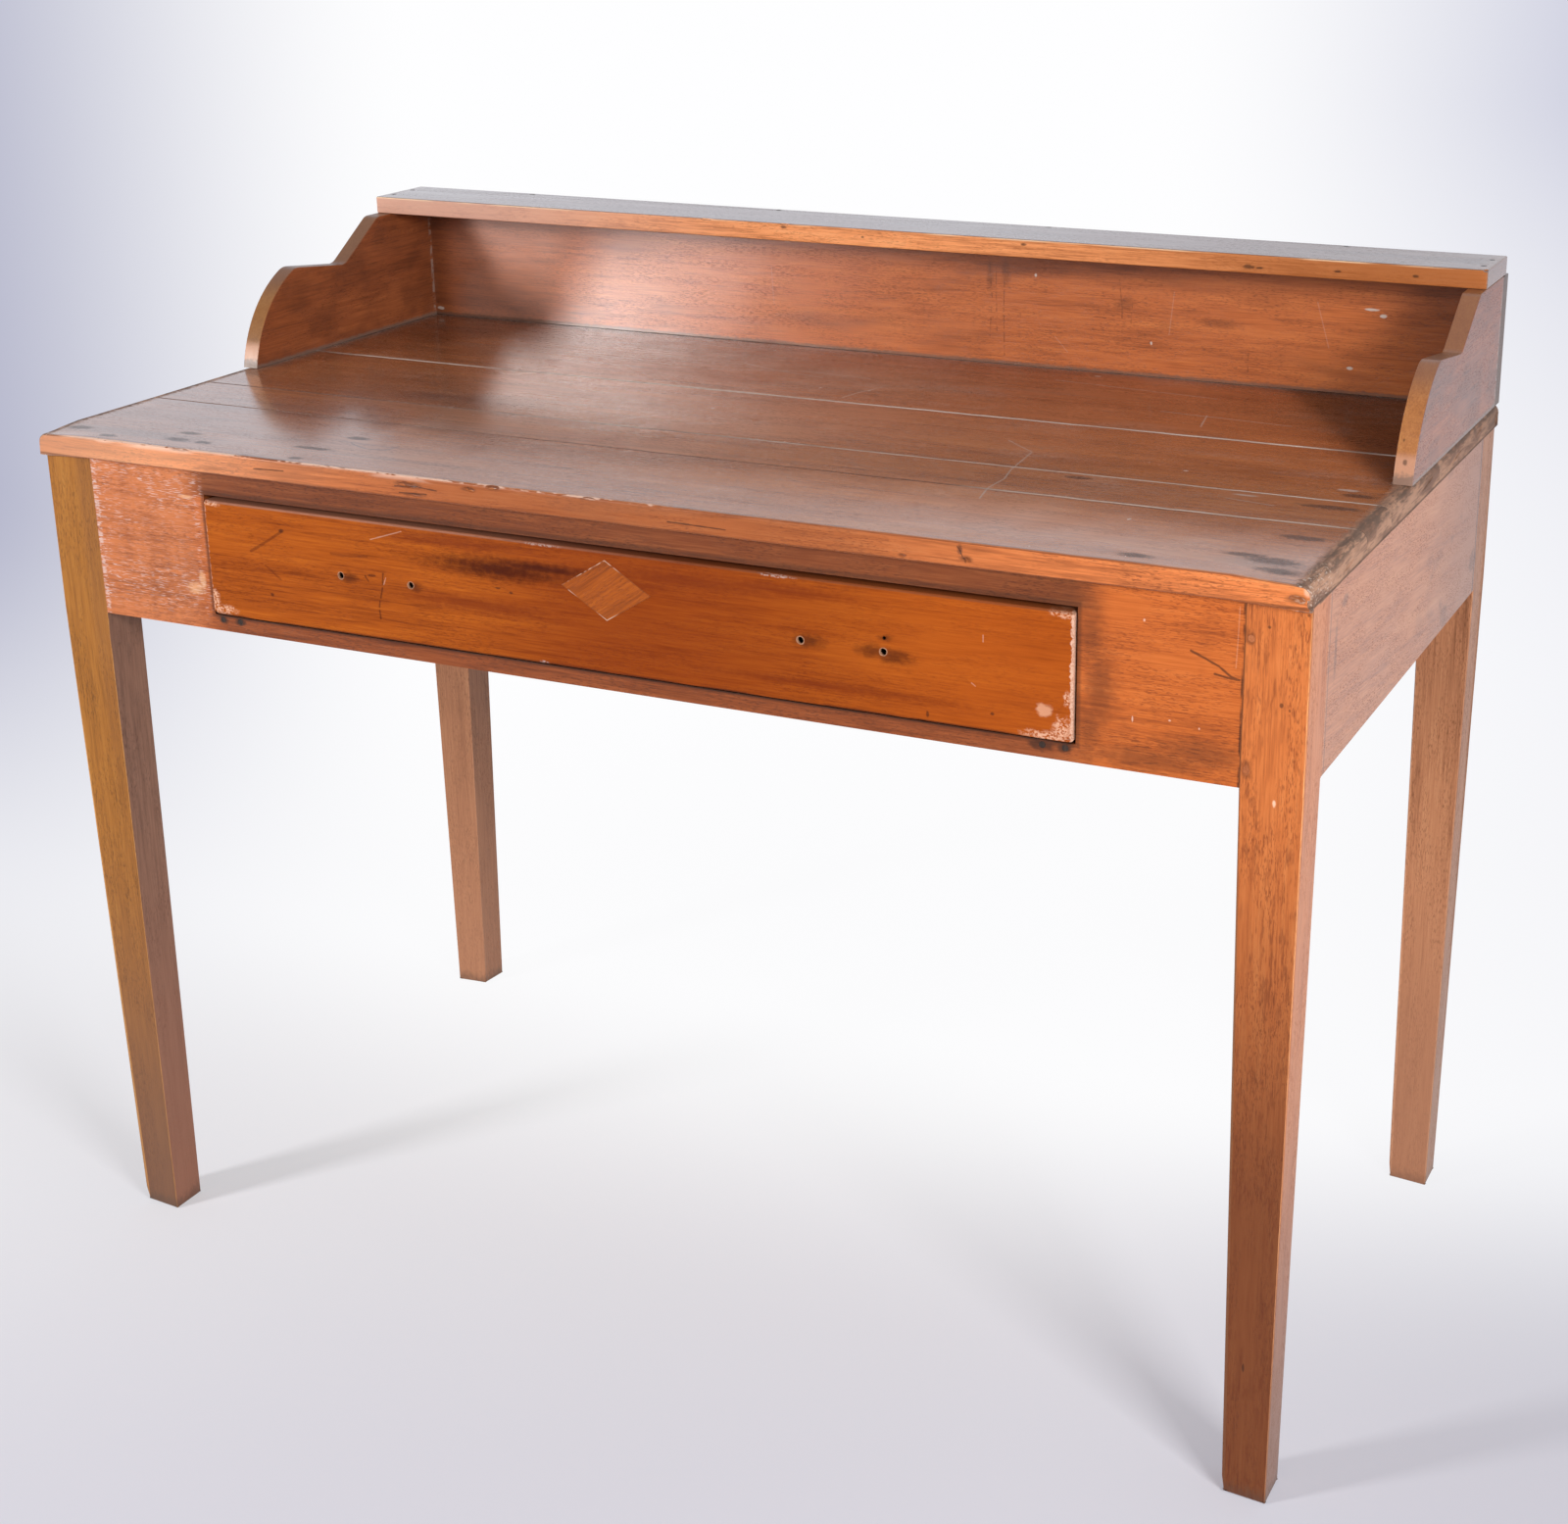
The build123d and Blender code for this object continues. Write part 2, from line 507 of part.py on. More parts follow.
# --- glue blocks -----------------------------------------------------------------------
# Hold the top to the aprons, in the corner under it.
with BuildPart() as top_glue_blocks:
    with BuildSketch(Plane.XY.offset(top_underside)):
        long_rows = [(x, y) for x in ((apron_left_end - guide_outside) / 2, -runner_inside / 2,
                                      runner_inside / 2, (guide_outside + apron_right_end) / 2)
                     for y in (rail_inside + GLUE_BLOCK / 2, back_rail_inside - GLUE_BLOCK / 2)]
        with Locations(*long_rows):
            Rectangle(GLUE_BLOCK_LENGTH, GLUE_BLOCK)
        short_rows = [(frame_x[side] - side * (APRON_THICKNESS + GLUE_BLOCK / 2), y)
                      for side in (-1, 1)
                      for y in evenly(apron_front_end, apron_back_end, SIDE_BLOCK_COUNT)]
        with Locations(*short_rows):
            Rectangle(GLUE_BLOCK, GLUE_BLOCK_LENGTH)
    extrude(amount=-GLUE_BLOCK)
top_glue_blocks.part.label = "top_glue_blocks"
export_step(top_glue_blocks.part, "parts/top_glue_blocks.step")

# --- drawer front ----------------------------------------------------------------------
# Thick board with blind dovetail sockets in its ends, a groove for the bottom, a lozenge
# let into its face and the four holes of two lost handles.
front_middle_z = (front_low + front_high) / 2
inlay_z = front_high - INLAY_TOP_MARGIN - INLAY_HEIGHT / 2
panel_half = drawer_half - DRAWER_SIDE_THICKNESS + GROOVE_DEPTH
with BuildPart() as drawer_front:
    with BuildSketch(Plane.XZ.offset(-drawer_face)):
        with Locations((0, front_middle_z)):
            RectangleRounded(2 * drawer_half, front_high - front_low, DRAWER_CORNER)
    extrude(amount=-DRAWER_FRONT_THICKNESS)
    fillet(drawer_front.faces().sort_by(Axis.Y)[0].edges(), DRAWER_ARRIS)
    for side in (-1, 1):
        with BuildSketch(Plane.YZ.offset(side * drawer_half)):
            tails(front_inside, lap_face, front_low, side_high, DOVETAIL_CLEARANCE)
        extrude(amount=-side * DRAWER_SIDE_THICKNESS, mode=Mode.SUBTRACT)
    box_between((-panel_half, front_inside - GROOVE_DEPTH, panel_low - GROOVE_CLEARANCE),
                (panel_half, front_inside, panel_high + GROOVE_CLEARANCE), Mode.SUBTRACT)
    with BuildSketch(Plane.XZ.offset(-drawer_face)):
        with Locations((0, inlay_z)):
            Polygon((-INLAY_WIDTH / 2, 0), (0, -INLAY_HEIGHT / 2), (INLAY_WIDTH / 2, 0),
                    (0, INLAY_HEIGHT / 2), align=None)
        offset(amount=INLAY_CLEARANCE, kind=Kind.INTERSECTION)
    extrude(amount=-INLAY_THICKNESS, mode=Mode.SUBTRACT)
    with BuildSketch(Plane.XZ.offset(-drawer_face)):
        with Locations(*[(x + offset_x, front_middle_z) for x in (HANDLE_LEFT_X, HANDLE_RIGHT_X)
                         for offset_x in (-HANDLE_SPACING / 2, HANDLE_SPACING / 2)]):
            Circle(HANDLE_HOLE / 2)
    extrude(amount=-DRAWER_FRONT_THICKNESS, mode=Mode.SUBTRACT)
drawer_front.part.label = "drawer_front"
export_step(drawer_front.part, "parts/drawer_front.step")

# --- drawer inlay ----------------------------------------------------------------------
# Lozenge of paler wood, flush with the drawer front.
with BuildPart() as drawer_inlay:
    with BuildSketch(Plane.XZ.offset(-drawer_face)):
        with Locations((0, inlay_z)):
            Polygon((-INLAY_WIDTH / 2, 0), (0, -INLAY_HEIGHT / 2), (INLAY_WIDTH / 2, 0),
                    (0, INLAY_HEIGHT / 2), align=None)
    extrude(amount=-INLAY_THICKNESS)
drawer_inlay.part.label = "drawer_inlay"
export_step(drawer_inlay.part, "parts/drawer_inlay.step")

# --- drawer sides ----------------------------------------------------------------------
# Tails at both ends, a groove for the bottom, and a foot that runs on below the back.
for side in (-1, 1):
    with BuildPart() as drawer_side:
        with BuildSketch(Plane.YZ.offset(side * drawer_half)):
            with Locations(((front_inside + back_inside) / 2, (side_low + side_high) / 2)):
                Rectangle(back_inside - front_inside, side_high - side_low)
            with Locations(((back_inside + drawer_rear) / 2, (side_low + panel_high) / 2)):
                Rectangle(DRAWER_BACK_THICKNESS, panel_high - side_low)
            tails(front_inside, lap_face, front_low, side_high)
            tails(back_inside, drawer_rear, panel_high, side_high)
        extrude(amount=-side * DRAWER_SIDE_THICKNESS)
        low_x, high_x = sorted((side * panel_half, side * (drawer_half - DRAWER_SIDE_THICKNESS)))
        box_between((low_x, lap_face, panel_low - GROOVE_CLEARANCE),
                    (high_x, drawer_rear, panel_high + GROOVE_CLEARANCE), Mode.SUBTRACT)
    side_name = f"drawer_side_{side_names[side]}"
    drawer_side.part.label = side_name
    export_step(drawer_side.part, f"parts/{side_name}.step")

# --- drawer back -----------------------------------------------------------------------
# Sits on the bottom panel, with sockets through it for the sides' tails.
with BuildPart() as drawer_back:
    box_between((-drawer_half, back_inside, panel_high), (drawer_half, drawer_rear, side_high))
    for side in (-1, 1):
        with BuildSketch(Plane.YZ.offset(side * drawer_half)):
            tails(back_inside, drawer_rear, panel_high, side_high, DOVETAIL_CLEARANCE)
        extrude(amount=-side * DRAWER_SIDE_THICKNESS, mode=Mode.SUBTRACT)
    nail_holes(drawer_nail_points, UP, DRAWER_NAIL_LENGTH)
drawer_back.part.label = "drawer_back"
export_step(drawer_back.part, "parts/drawer_back.step")

# --- drawer bottom ---------------------------------------------------------------------
# Thin panel in the grooves of the front and sides, nailed up into the back.
panel_side = panel_half - GROOVE_CLEARANCE
panel_front = front_inside - GROOVE_DEPTH + GROOVE_CLEARANCE
with BuildPart() as drawer_bottom:
    box_between((-panel_side, panel_front, panel_low), (panel_side, drawer_rear, panel_high))
    nail_holes(drawer_nail_points, UP, DRAWER_NAIL_LENGTH)
drawer_bottom.part.label = "drawer_bottom"
export_step(drawer_bottom.part, "parts/drawer_bottom.step")
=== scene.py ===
"""The looks of a country sewing desk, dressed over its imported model."""

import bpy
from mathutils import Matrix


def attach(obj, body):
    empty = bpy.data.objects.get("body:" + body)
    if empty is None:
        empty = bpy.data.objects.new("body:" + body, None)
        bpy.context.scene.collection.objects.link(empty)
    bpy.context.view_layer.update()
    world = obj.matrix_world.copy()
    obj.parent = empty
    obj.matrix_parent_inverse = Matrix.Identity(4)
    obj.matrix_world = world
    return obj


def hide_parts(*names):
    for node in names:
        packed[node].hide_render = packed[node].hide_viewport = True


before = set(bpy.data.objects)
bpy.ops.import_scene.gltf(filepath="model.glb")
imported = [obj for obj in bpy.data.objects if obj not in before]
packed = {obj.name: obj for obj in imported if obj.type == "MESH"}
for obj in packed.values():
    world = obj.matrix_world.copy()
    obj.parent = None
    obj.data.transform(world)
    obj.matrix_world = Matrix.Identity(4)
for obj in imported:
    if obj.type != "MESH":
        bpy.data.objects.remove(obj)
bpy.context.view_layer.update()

import math

import bmesh
import bpy
from mathutils import Matrix, Vector


# The viewpoint: a standing person's eye, to the right of the desk's middle and about two metres
# from its drawer, looking down along the top to the back left corner.
scene = bpy.context.scene
scene.view_settings.view_transform = "Standard"

EYE = Vector((0.988794, -1.885195, 1.258459))
TURN_LEFT = math.radians(24.996)
LOOK_DOWN = math.radians(19.348)
TILT = math.radians(-0.461)

viewer = bpy.data.objects.new("viewer", bpy.data.cameras.new("viewer"))
scene.collection.objects.link(viewer)
viewer.data.sensor_width = 36.0
viewer.data.lens = 57.354
viewer.data.shift_x = -0.06959
viewer.data.shift_y = -0.04917
viewer.matrix_world = (Matrix.Translation(EYE) @ Matrix.Rotation(TURN_LEFT, 4, "Z")
                       @ Matrix.Rotation(math.pi / 2 - LOOK_DOWN, 4, "X") @ Matrix.Rotation(TILT, 4, "Z"))
scene.camera = viewer


# The room: a pale floor that runs far past the view, the pale air beyond it, and soft lamps at both
# sides of whoever sits down to the desk.
def shade(colour):
    """A colour as the shader wants it, from red, green and blue as on a screen, 0 to 255."""
    parts = [value / 255 for value in colour]
    return (*(p / 12.92 if p <= 0.04045 else ((p + 0.055) / 1.055) ** 2.4 for p in parts), 1.0)


X, Y, Z = range(3)


class Wire:
    """A value in a material that Python's own arithmetic works on: each step adds its node."""

    def __init__(self, socket):
        self.socket = socket

    def node(self, kind, settings, inputs, out=0):
        """Adds a node beside this value: its settings first, then what its sockets get."""
        tree = self.socket.id_data
        made = tree.nodes.new("ShaderNode" + kind)
        for name, value in settings.items():
            if name == "stops":
                for stop in value[2:]:
                    made.color_ramp.elements.new(stop[0])
                for element, (spot, colour) in zip(made.color_ramp.elements, value):
                    element.position = spot
                    element.color = colour
            else:
                setattr(made, name, value)
        for name, value in inputs.items():
            if isinstance(value, Wire):
                tree.links.new(value.socket, made.inputs[name])
            else:
                made.inputs[name].default_value = value
        return Wire(made.outputs[out])

    def maths(self, operation, first, second=0.0):
        return self.node("Math", {"operation": operation}, {0: first, 1: second})

    def __add__(self, other):
        return self.maths("ADD", self, other)

    def __sub__(self, other):
        return self.maths("SUBTRACT", self, other)

    def __rsub__(self, other):
        return self.maths("SUBTRACT", other, self)

    def __mul__(self, other):
        return self.maths("MULTIPLY", self, other)

    def __truediv__(self, other):
        return self.maths("DIVIDE", self, other)

    def __abs__(self):
        return self.maths("ABSOLUTE", self)

    def most(self, other):
        return self.maths("MAXIMUM", self, other)

    def beyond(self, edge):
        """1 where the value passes the edge, else 0."""
        return self.maths("GREATER_THAN", self, edge)

    def between(self, low, high):
        """0 at low, 1 at high and smooth between them, whichever is the larger."""
        return self.node("MapRange", {"interpolation_type": "SMOOTHSTEP"},
                         {"Value": self, "From Min": low, "From Max": high})

    def blend(self, under, over):
        """The colour under, covered by the colour over as far as this value says."""
        under, over = (c if isinstance(c, Wire) else shade(c) for c in (under, over))
        return self.node("Mix", {"data_type": "RGBA"}, {0: self, 6: under, 7: over}, 2)

    def vector(self, operation, first, second=(0.0, 0.0, 0.0), out=0):
        return self.node("VectorMath", {"operation": operation}, {0: first, 1: second}, out)

    def part(self, axis):
        """The x, y or z of a vector."""
        return self.node("SeparateXYZ", {}, {0: self}, axis)

    def ray(self, kind):
        """1 for rays of one kind, such as those straight from the eye."""
        return self.node("LightPath", {}, {}, f"Is {kind} Ray")

    __radd__ = __add__
    __rmul__ = __mul__


def blank(name):
    """A new material with nothing in it but its place on the piece."""
    material = bpy.data.materials.new(name)
    material.use_nodes = True
    material.node_tree.nodes.clear()
    return material, Wire(material.node_tree.nodes.new("ShaderNodeTexCoord").outputs["Object"])


def send(material, shader):
    """Joins a finished shader to the material's output."""
    output = material.node_tree.nodes.new("ShaderNodeOutputMaterial")
    material.node_tree.links.new(shader.socket, output.inputs["Surface"])


FLOOR_REACH = 30.0
FLOOR_PAPER = (243, 242, 248)
FLOOR_FRONT = (201, 200, 213)
FLOOR_CORNER = (174, 173, 189)
FAR_PALE = (254, 254, 255)
FAR_LEFT = (172, 174, 198)
FAR_RIGHT = (190, 192, 214)
OWN_GLOW = 0.42
BACK_GLOW = 0.54
NEAR_DESK = 0.6
FAR_FROM_DESK = 1.9

bpy.ops.object.select_all(action="DESELECT")
bpy.ops.mesh.primitive_circle_add(vertices=96, radius=FLOOR_REACH, fill_type="NGON")
floor = bpy.context.object
floor.name = "floor"

paper, place = blank("floor_paper")
east = place.part(X)
north = place.part(Y)
ahead = (north - EYE.y) * math.cos(TURN_LEFT) - (east - EYE.x) * math.sin(TURN_LEFT)
aside = (north - EYE.y) * math.sin(TURN_LEFT) + (east - EYE.x) * math.cos(TURN_LEFT)
bearing = aside / ahead.most(0.5)
# Seen by the eye, the floor mostly glows with colours set by place: white beyond the desk and darker in
# front of it and towards both sides, a painted pool of studio light with its falloff. Near the desk less of
# it glows, so the lamps light it and cast the desk's shadows, though more glows behind the desk, which
# paints out part of the shadow there.
far_colour = (bearing.between(0.1, 0.36) * ahead.between(0.0, 12.0)).blend(
    (bearing.between(-0.18, -0.42) * ahead.between(1.9, 4.8)).blend(FAR_PALE, FAR_LEFT), FAR_RIGHT)
near_colour = bearing.between(0.05, 0.3).blend(FLOOR_FRONT, FLOOR_CORNER)
far_colour = ahead.between(2.3, 1.5).blend(far_colour, near_colour)
far_colour = ahead.between(1.3, 0.3).blend(far_colour, FLOOR_PAPER)
looks = place.ray("Camera")
glints = place.ray("Glossy")
passing = place.ray("Transmission")
seen = looks.most(glints).most(passing)
distance = place.vector("LENGTH", place, out="Value")
lit = place.node("BsdfDiffuse", {}, {"Color": shade(FLOOR_PAPER)})
plain = place.node("Emission", {}, {"Color": far_colour})
share = OWN_GLOW + north.between(-0.25, 0.35) * BACK_GLOW
share = share + distance.between(NEAR_DESK, FAR_FROM_DESK) * (1 - share)
send(paper, place.node("MixShader", {}, {0: share * seen, 1: lit, 2: plain}))
floor.data.materials.append(paper)

AIR = shade((240, 240, 247))
GLOW_IN_FRONT = 0.18
MORE_GLOW_BEHIND = 0.2
SHEEN_IN_FRONT = 0.12
MORE_SHEEN_BEHIND = 0.88
world = bpy.data.worlds.new("pale_air")
scene.world = world
world.use_nodes = True
world.node_tree.nodes.clear()
sky = Wire(world.node_tree.nodes.new("ShaderNodeTexCoord").outputs["Generated"])
behind = sky.part(Y).between(-0.35, 0.25)
straight = sky.ray("Camera").most(sky.ray("Transmission"))
mirrored = sky.ray("Glossy")
glow = sky.node("Background", {}, {"Color": AIR, "Strength": GLOW_IN_FRONT + behind * MORE_GLOW_BEHIND})
sheen = sky.node("Background", {}, {"Color": AIR, "Strength": SHEEN_IN_FRONT + behind * MORE_SHEEN_BEHIND})
wall = sky.node("Background", {}, {"Color": AIR, "Strength": 1.0})
air = sky.node("MixShader", {}, {0: mirrored, 1: glow, 2: sheen})
air = sky.node("MixShader", {}, {0: straight, 1: air, 2: wall})
world.node_tree.links.new(
    air.socket, world.node_tree.nodes.new("ShaderNodeOutputWorld").inputs["Surface"])


def lamp(name, place, width, height, watts):
    """A soft lamp that faces the middle of the desk."""
    light = bpy.data.lights.new(name, "AREA")
    light.shape = "RECTANGLE"
    light.size = width
    light.size_y = height
    light.energy = watts
    made = bpy.data.objects.new(name, light)
    scene.collection.objects.link(made)
    made.location = place
    made.rotation_euler = (Vector((0, 0, 0.5)) - Vector(place)).to_track_quat("-Z", "Y").to_euler()


lamp("left_lamp", (-2.25, -2.8, 1.5), 0.5, 0.9, 84)
lamp("right_lamp", (2.05, -1.6, 1.5), 0.7, 0.7, 46)


# Every wood here is old, oiled or varnished and rubbed by hands. A finish is laid in layers: the
# ground with its grain, then pores, stains, marks, wear and some painted shade and highlights, and
# last the gloss over them.
class Wood:
    """One wood finish, with its grain along x, y or z and its marks on the plane of two of them."""

    def __init__(self, name, grain, face, start, ground, pores, breaks=(), slant=0.0):
        self.material, self.place = blank(name)
        self.x, self.y, self.z = (self.place.part(axis) for axis in (X, Y, Z))
        self.grain = grain
        self.face = face
        self.lie = self.place
        if slant:
            axis = (0.0, 1.0, 0.0) if grain == X else (1.0, 0.0, 0.0)
            self.lie = self.place.node(
                "VectorRotate", {}, {"Vector": self.place, "Axis": axis, "Angle": math.radians(slant)})
        for edge, step in breaks:
            jump = self.y.beyond(edge) * step
            self.lie = self.lie.vector(
                "ADD", self.lie, jump.node("CombineXYZ", {}, {0: jump, 1: jump, 2: jump}))
        self.start = start
        self.patch = self.noise(7, 2.2, 3)
        self.broad = self.noise(48, 14, 3)
        self.streak = self.noise(230, 26, 2)
        self.fibre = self.noise(800, 26, 2)
        tone = self.patch * 0.2 + self.broad * 0.24 + self.streak * 0.22 + self.fibre * 0.34
        self.tone = tone.node("MapRange", {}, {"Value": tone, "From Min": 0.31, "From Max": 0.69})
        self.pore = self.noise(1350, 7, 1).between(0.55, 0.63) * self.noise(60, 4, 1).between(0.3, 0.6)
        self.pores = pores
        self.ragged = self.noise(260, 1.6, 3) - 0.5
        self.flat = self.place.vector("MULTIPLY", self.place, self.spot(1.0, 1.0))
        self.colour = self.grained(*ground)
        self.rough = 0.36 + (self.patch - 0.5) * 0.2 + self.pore * 0.2
        self.height = self.fibre * 0.25 - self.pore * 0.6 + self.streak * 0.3

    def noise(self, across, stretch, detail, along=None):
        """Noise drawn out along the grain, with so many turns to the metre across it."""
        scale = [1.0, 1.0, 1.0]
        scale[self.grain if along is None else along] = 1 / stretch
        self.start += 1.37
        spot = self.lie.node("Mapping", {}, {
            "Vector": self.lie, "Location": (self.start, self.start * 0.7, self.start * 1.3),
            "Scale": scale})
        return spot.node("TexNoise", {}, {
            "Vector": spot, "Scale": across, "Detail": detail, "Roughness": 0.6})

    def grained(self, dark, middle, light):
        """The grain in three colours, its pores filled with the darkest."""
        stops = [(0.0, shade(dark)), (0.5, shade(middle)), (1.0, shade(light))]
        ground = self.tone.node("ValToRGB", {"stops": stops}, {0: self.tone})
        return (self.pore * self.pores).blend(ground, dark)

    def spot(self, first, second):
        """A place on the plane the marks lie on."""
        point = [0.0, 0.0, 0.0]
        point[self.face[0]] = first
        point[self.face[1]] = second
        return tuple(point)

    def near(self, axis, value, reach):
        """1 at a plane across x, y or z and 0 from reach away."""
        return abs((self.x, self.y, self.z)[axis] - value).between(reach, reach * 0.3)

    def stain(self, mask, colour):
        self.colour = mask.blend(self.colour, colour)

    def rub(self, mask, rough):
        self.rough = self.rough + mask * (rough - self.rough)

    def marks(self, colour, most, ovals, soft=0.4, ragged=1.3):
        """Stains ragged ovals, each its middle and half sizes, and gives back where they are."""
        found = None
        for first, second, half_first, half_second in ovals:
            reach = [1.0, 1.0, 1.0]
            reach[self.face[0]] = half_first
            reach[self.face[1]] = half_second
            away = self.flat.vector("SUBTRACT", self.flat, self.spot(first, second))
            away = away.vector("DIVIDE", away, reach)
            mark = away.vector("LENGTH", away, out="Value") + self.ragged * ragged
            mark = mark.between(1 + soft, 1 - soft)
            found = mark if found is None else found.most(mark)
        self.stain(found * most, colour)
        return found

    def lines(self, colour, most, width, paths):
        """Stains scratches or cracks, each a run of points."""
        found = None
        for path in paths:
            for start, end in zip(path, path[1:]):
                run = Vector(self.spot(*end)) - Vector(self.spot(*start))
                gone = self.flat.vector("SUBTRACT", self.flat, self.spot(*start))
                part = gone.vector("DOT_PRODUCT", gone, tuple(run), "Value") / run.length_squared
                part = part.node("Clamp", {}, {0: part})
                off = part.node("VectorMath", {"operation": "SCALE"}, {0: tuple(run), "Scale": part})
                off = gone.vector("SUBTRACT", gone, off)
                far = off.vector("LENGTH", off, out="Value") + self.ragged * width
                mark = far.between(width, width * 0.3)
                found = mark if found is None else found.most(mark)
        self.stain(found * most, colour)

    def specks(self, colour, most, cells, size, share):
        """Stains small round specks, in so many cells to the metre and only that share of them."""
        near = self.place.node("TexVoronoi", {}, {"Vector": self.place, "Scale": cells})
        luck = Wire(near.socket.node.outputs["Color"]).part(X)
        self.stain(near.between(size * cells, size * cells * 0.5) * luck.beyond(1 - share) * most, colour)

    def close(self, gloss=0.2, varnish=0.0, depth=0.0003, smooth=0.2):
        """Lays the gloss and any varnish over the layers and gives back the material."""
        bump = self.height.node("Bump", {}, {"Strength": 0.5, "Distance": depth, "Height": self.height})
        send(self.material, self.colour.node("BsdfPrincipled", {}, {
            "Base Color": self.colour, "Roughness": self.rough, "Specular IOR Level": gloss,
            "Coat Weight": varnish, "Coat Roughness": smooth, "Normal": bump}))
        return self.material


def dress(piece, material, body):
    """Gives a piece its finish and the body it rides on."""
    piece.data.materials.clear()
    piece.data.materials.append(material)
    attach(piece, body)


def second_finish(piece, material, test):
    """Gives the faces that pass the test another finish."""
    piece.data.materials.append(material)
    for face in piece.data.polygons:
        if test(face):
            face.material_index = len(piece.data.materials) - 1


# The top: four boards with open cracks between them, held by blocks glued in the corner under it.
# Years of work have rounded its front arris and both ends and left it dark, with stains and a grey
# bloom. The ends and the front edge have lost most of their varnish.
TOP = 0.76
UNDERSIDE = 0.74
HALF_TOP = 0.5635
FRONT = -0.297
SEAMS = (-0.152, -0.081, 0.074)
SEAM = 0.0006
BACK = 0.297
GALLERY_BACK = 0.279
GALLERY_FRONT = -0.017
GALLERY_INSIDE = 0.5465

TOP_FRONT_ARRIS = 0.0026
TOP_BACK_ARRIS = 0.002
SEAM_ARRIS = 0.0006
END_ROUNDING = 0.0085
CUTS_ALONG = 95
WAVE_LENGTH = 0.02
WAVE_DEPTH = 0.0007
SOFT_EDGE = math.radians(35)
HAIR = 0.0001
SAME_POINT = 0.00001

TOP_DARK = (66, 33, 21)
TOP_GRAIN = (TOP_DARK, (172, 107, 68), (204, 136, 90))
RIGHT_GRAIN = ((86, 44, 22), (184, 112, 62), (216, 146, 88))
BACK_BOARD_GRAIN = ((86, 42, 22), (164, 86, 44), (190, 108, 60))
EDGE_DARK = (112, 54, 28)
EDGE_GRAIN = (EDGE_DARK, (214, 122, 66), (232, 150, 92))
EDGE_LIP_GRAIN = (EDGE_DARK, (160, 88, 48), (190, 112, 66))
EDGE_PALE = (240, 200, 176)
END_DARK = (134, 102, 84)
END_BROWN = (188, 146, 120)
END_GREY = (94, 80, 70)
STAIN_BLACK = (38, 26, 22)
CRACK = (34, 22, 18)
DUST = (206, 192, 182)


def block(name, low, high):
    """A sawn block between two corners."""
    bpy.ops.object.select_all(action="DESELECT")
    bpy.ops.mesh.primitive_cube_add(
        size=1, location=[(a + b) / 2 for a, b in zip(low, high)], scale=[b - a for a, b in zip(low, high)])
    made = bpy.context.object
    made.name = name
    made.data.name = name
    bpy.ops.object.transform_apply(location=True, rotation=True, scale=True)
    return made


def pick(piece, kind, test):
    """Opens a piece in edit mode with only the points or edges that pass the test selected."""
    bpy.context.view_layer.objects.active = piece
    bpy.ops.object.mode_set(mode="EDIT")
    bpy.ops.mesh.select_mode(type=kind)
    bpy.ops.mesh.select_all(action="DESELECT")
    mesh = bmesh.from_edit_mesh(piece.data)
    for part in mesh.verts if kind == "VERT" else mesh.edges:
        part.select = bool(test(part))
    mesh.select_flush_mode()
    bmesh.update_edit_mesh(piece.data)


def leave(piece):
    """Smooths a piece over its soft edges."""
    bpy.ops.object.select_all(action="DESELECT")
    piece.select_set(True)
    bpy.context.view_layer.objects.active = piece
    bpy.ops.object.shade_smooth_by_angle(angle=SOFT_EDGE)
    even = piece.modifiers.new("even_shading", "WEIGHTED_NORMAL")
    even.keep_sharp = True
    bpy.ops.object.modifier_apply(modifier="even_shading")


def middle(edge):
    """The middle of an edge."""
    return (edge.verts[0].co + edge.verts[1].co) / 2


def runs(edge, axis):
    """True for an edge that lies along x, y or z."""
    way = (edge.verts[1].co - edge.verts[0].co).normalized()
    return abs(way[axis]) > 0.999


def merge(piece, gap):
    """Opens a piece in edit mode, all of it selected, and joins points that nearly meet."""
    pick(piece, "VERT", lambda v: True)
    bpy.ops.mesh.remove_doubles(threshold=gap)


def lump(piece, name, size, depth, level=0.5):
    """Pushes a piece's faces in and out in lumps of a given size and depth."""
    lumps = piece.modifiers.new(name, "DISPLACE")
    lumps.texture = bpy.data.textures.new(name, "CLOUDS")
    lumps.texture.noise_scale = size
    lumps.texture_coords = "LOCAL"
    lumps.strength = depth
    lumps.mid_level = level
    bpy.ops.object.modifier_apply(modifier=name)


def soften(piece, test, width, segments=3):
    """Rounds the edges of a piece that pass the test."""
    pick(piece, "EDGE", test)
    bpy.ops.mesh.bevel(offset=width, segments=segments, affect="EDGES")
    bpy.ops.object.mode_set(mode="OBJECT")


def wear_down(piece, test, by, reach):
    """Rubs what passes the test away, and less and less of what lies round it."""
    pick(piece, "VERT", test)
    bpy.ops.transform.translate(value=by, use_proportional_edit=True,
                                proportional_edit_falloff="SMOOTH", proportional_size=reach)
    bpy.ops.object.mode_set(mode="OBJECT")


def chip(piece, spot, size, turn):
    """Breaks a small ragged bite out of a piece."""
    bpy.ops.object.select_all(action="DESELECT")
    bpy.ops.mesh.primitive_ico_sphere_add(subdivisions=2, radius=1, location=spot,
                                          scale=size, rotation=(turn, turn * 0.6, turn * 0.3))
    bite = bpy.context.object
    bpy.ops.object.transform_apply(location=True, rotation=True, scale=True)
    lump(bite, "lumps", max(size) * 0.6, min(size) * 0.9)
    cut = piece.modifiers.new("chip", "BOOLEAN")
    cut.operation = "DIFFERENCE"
    cut.solver = "EXACT"
    cut.object = bite
    bpy.context.view_layer.objects.active = piece
    bpy.ops.object.modifier_apply(modifier="chip")
    bpy.data.objects.remove(bite)
    merge(piece, SAME_POINT)
    bpy.ops.object.mode_set(mode="OBJECT")


def break_out(piece, chips):
    """Breaks out every chip of a piece, each its middle, its half sizes and its turn."""
    for spot, size, turn in chips:
        chip(piece, spot, size, turn)


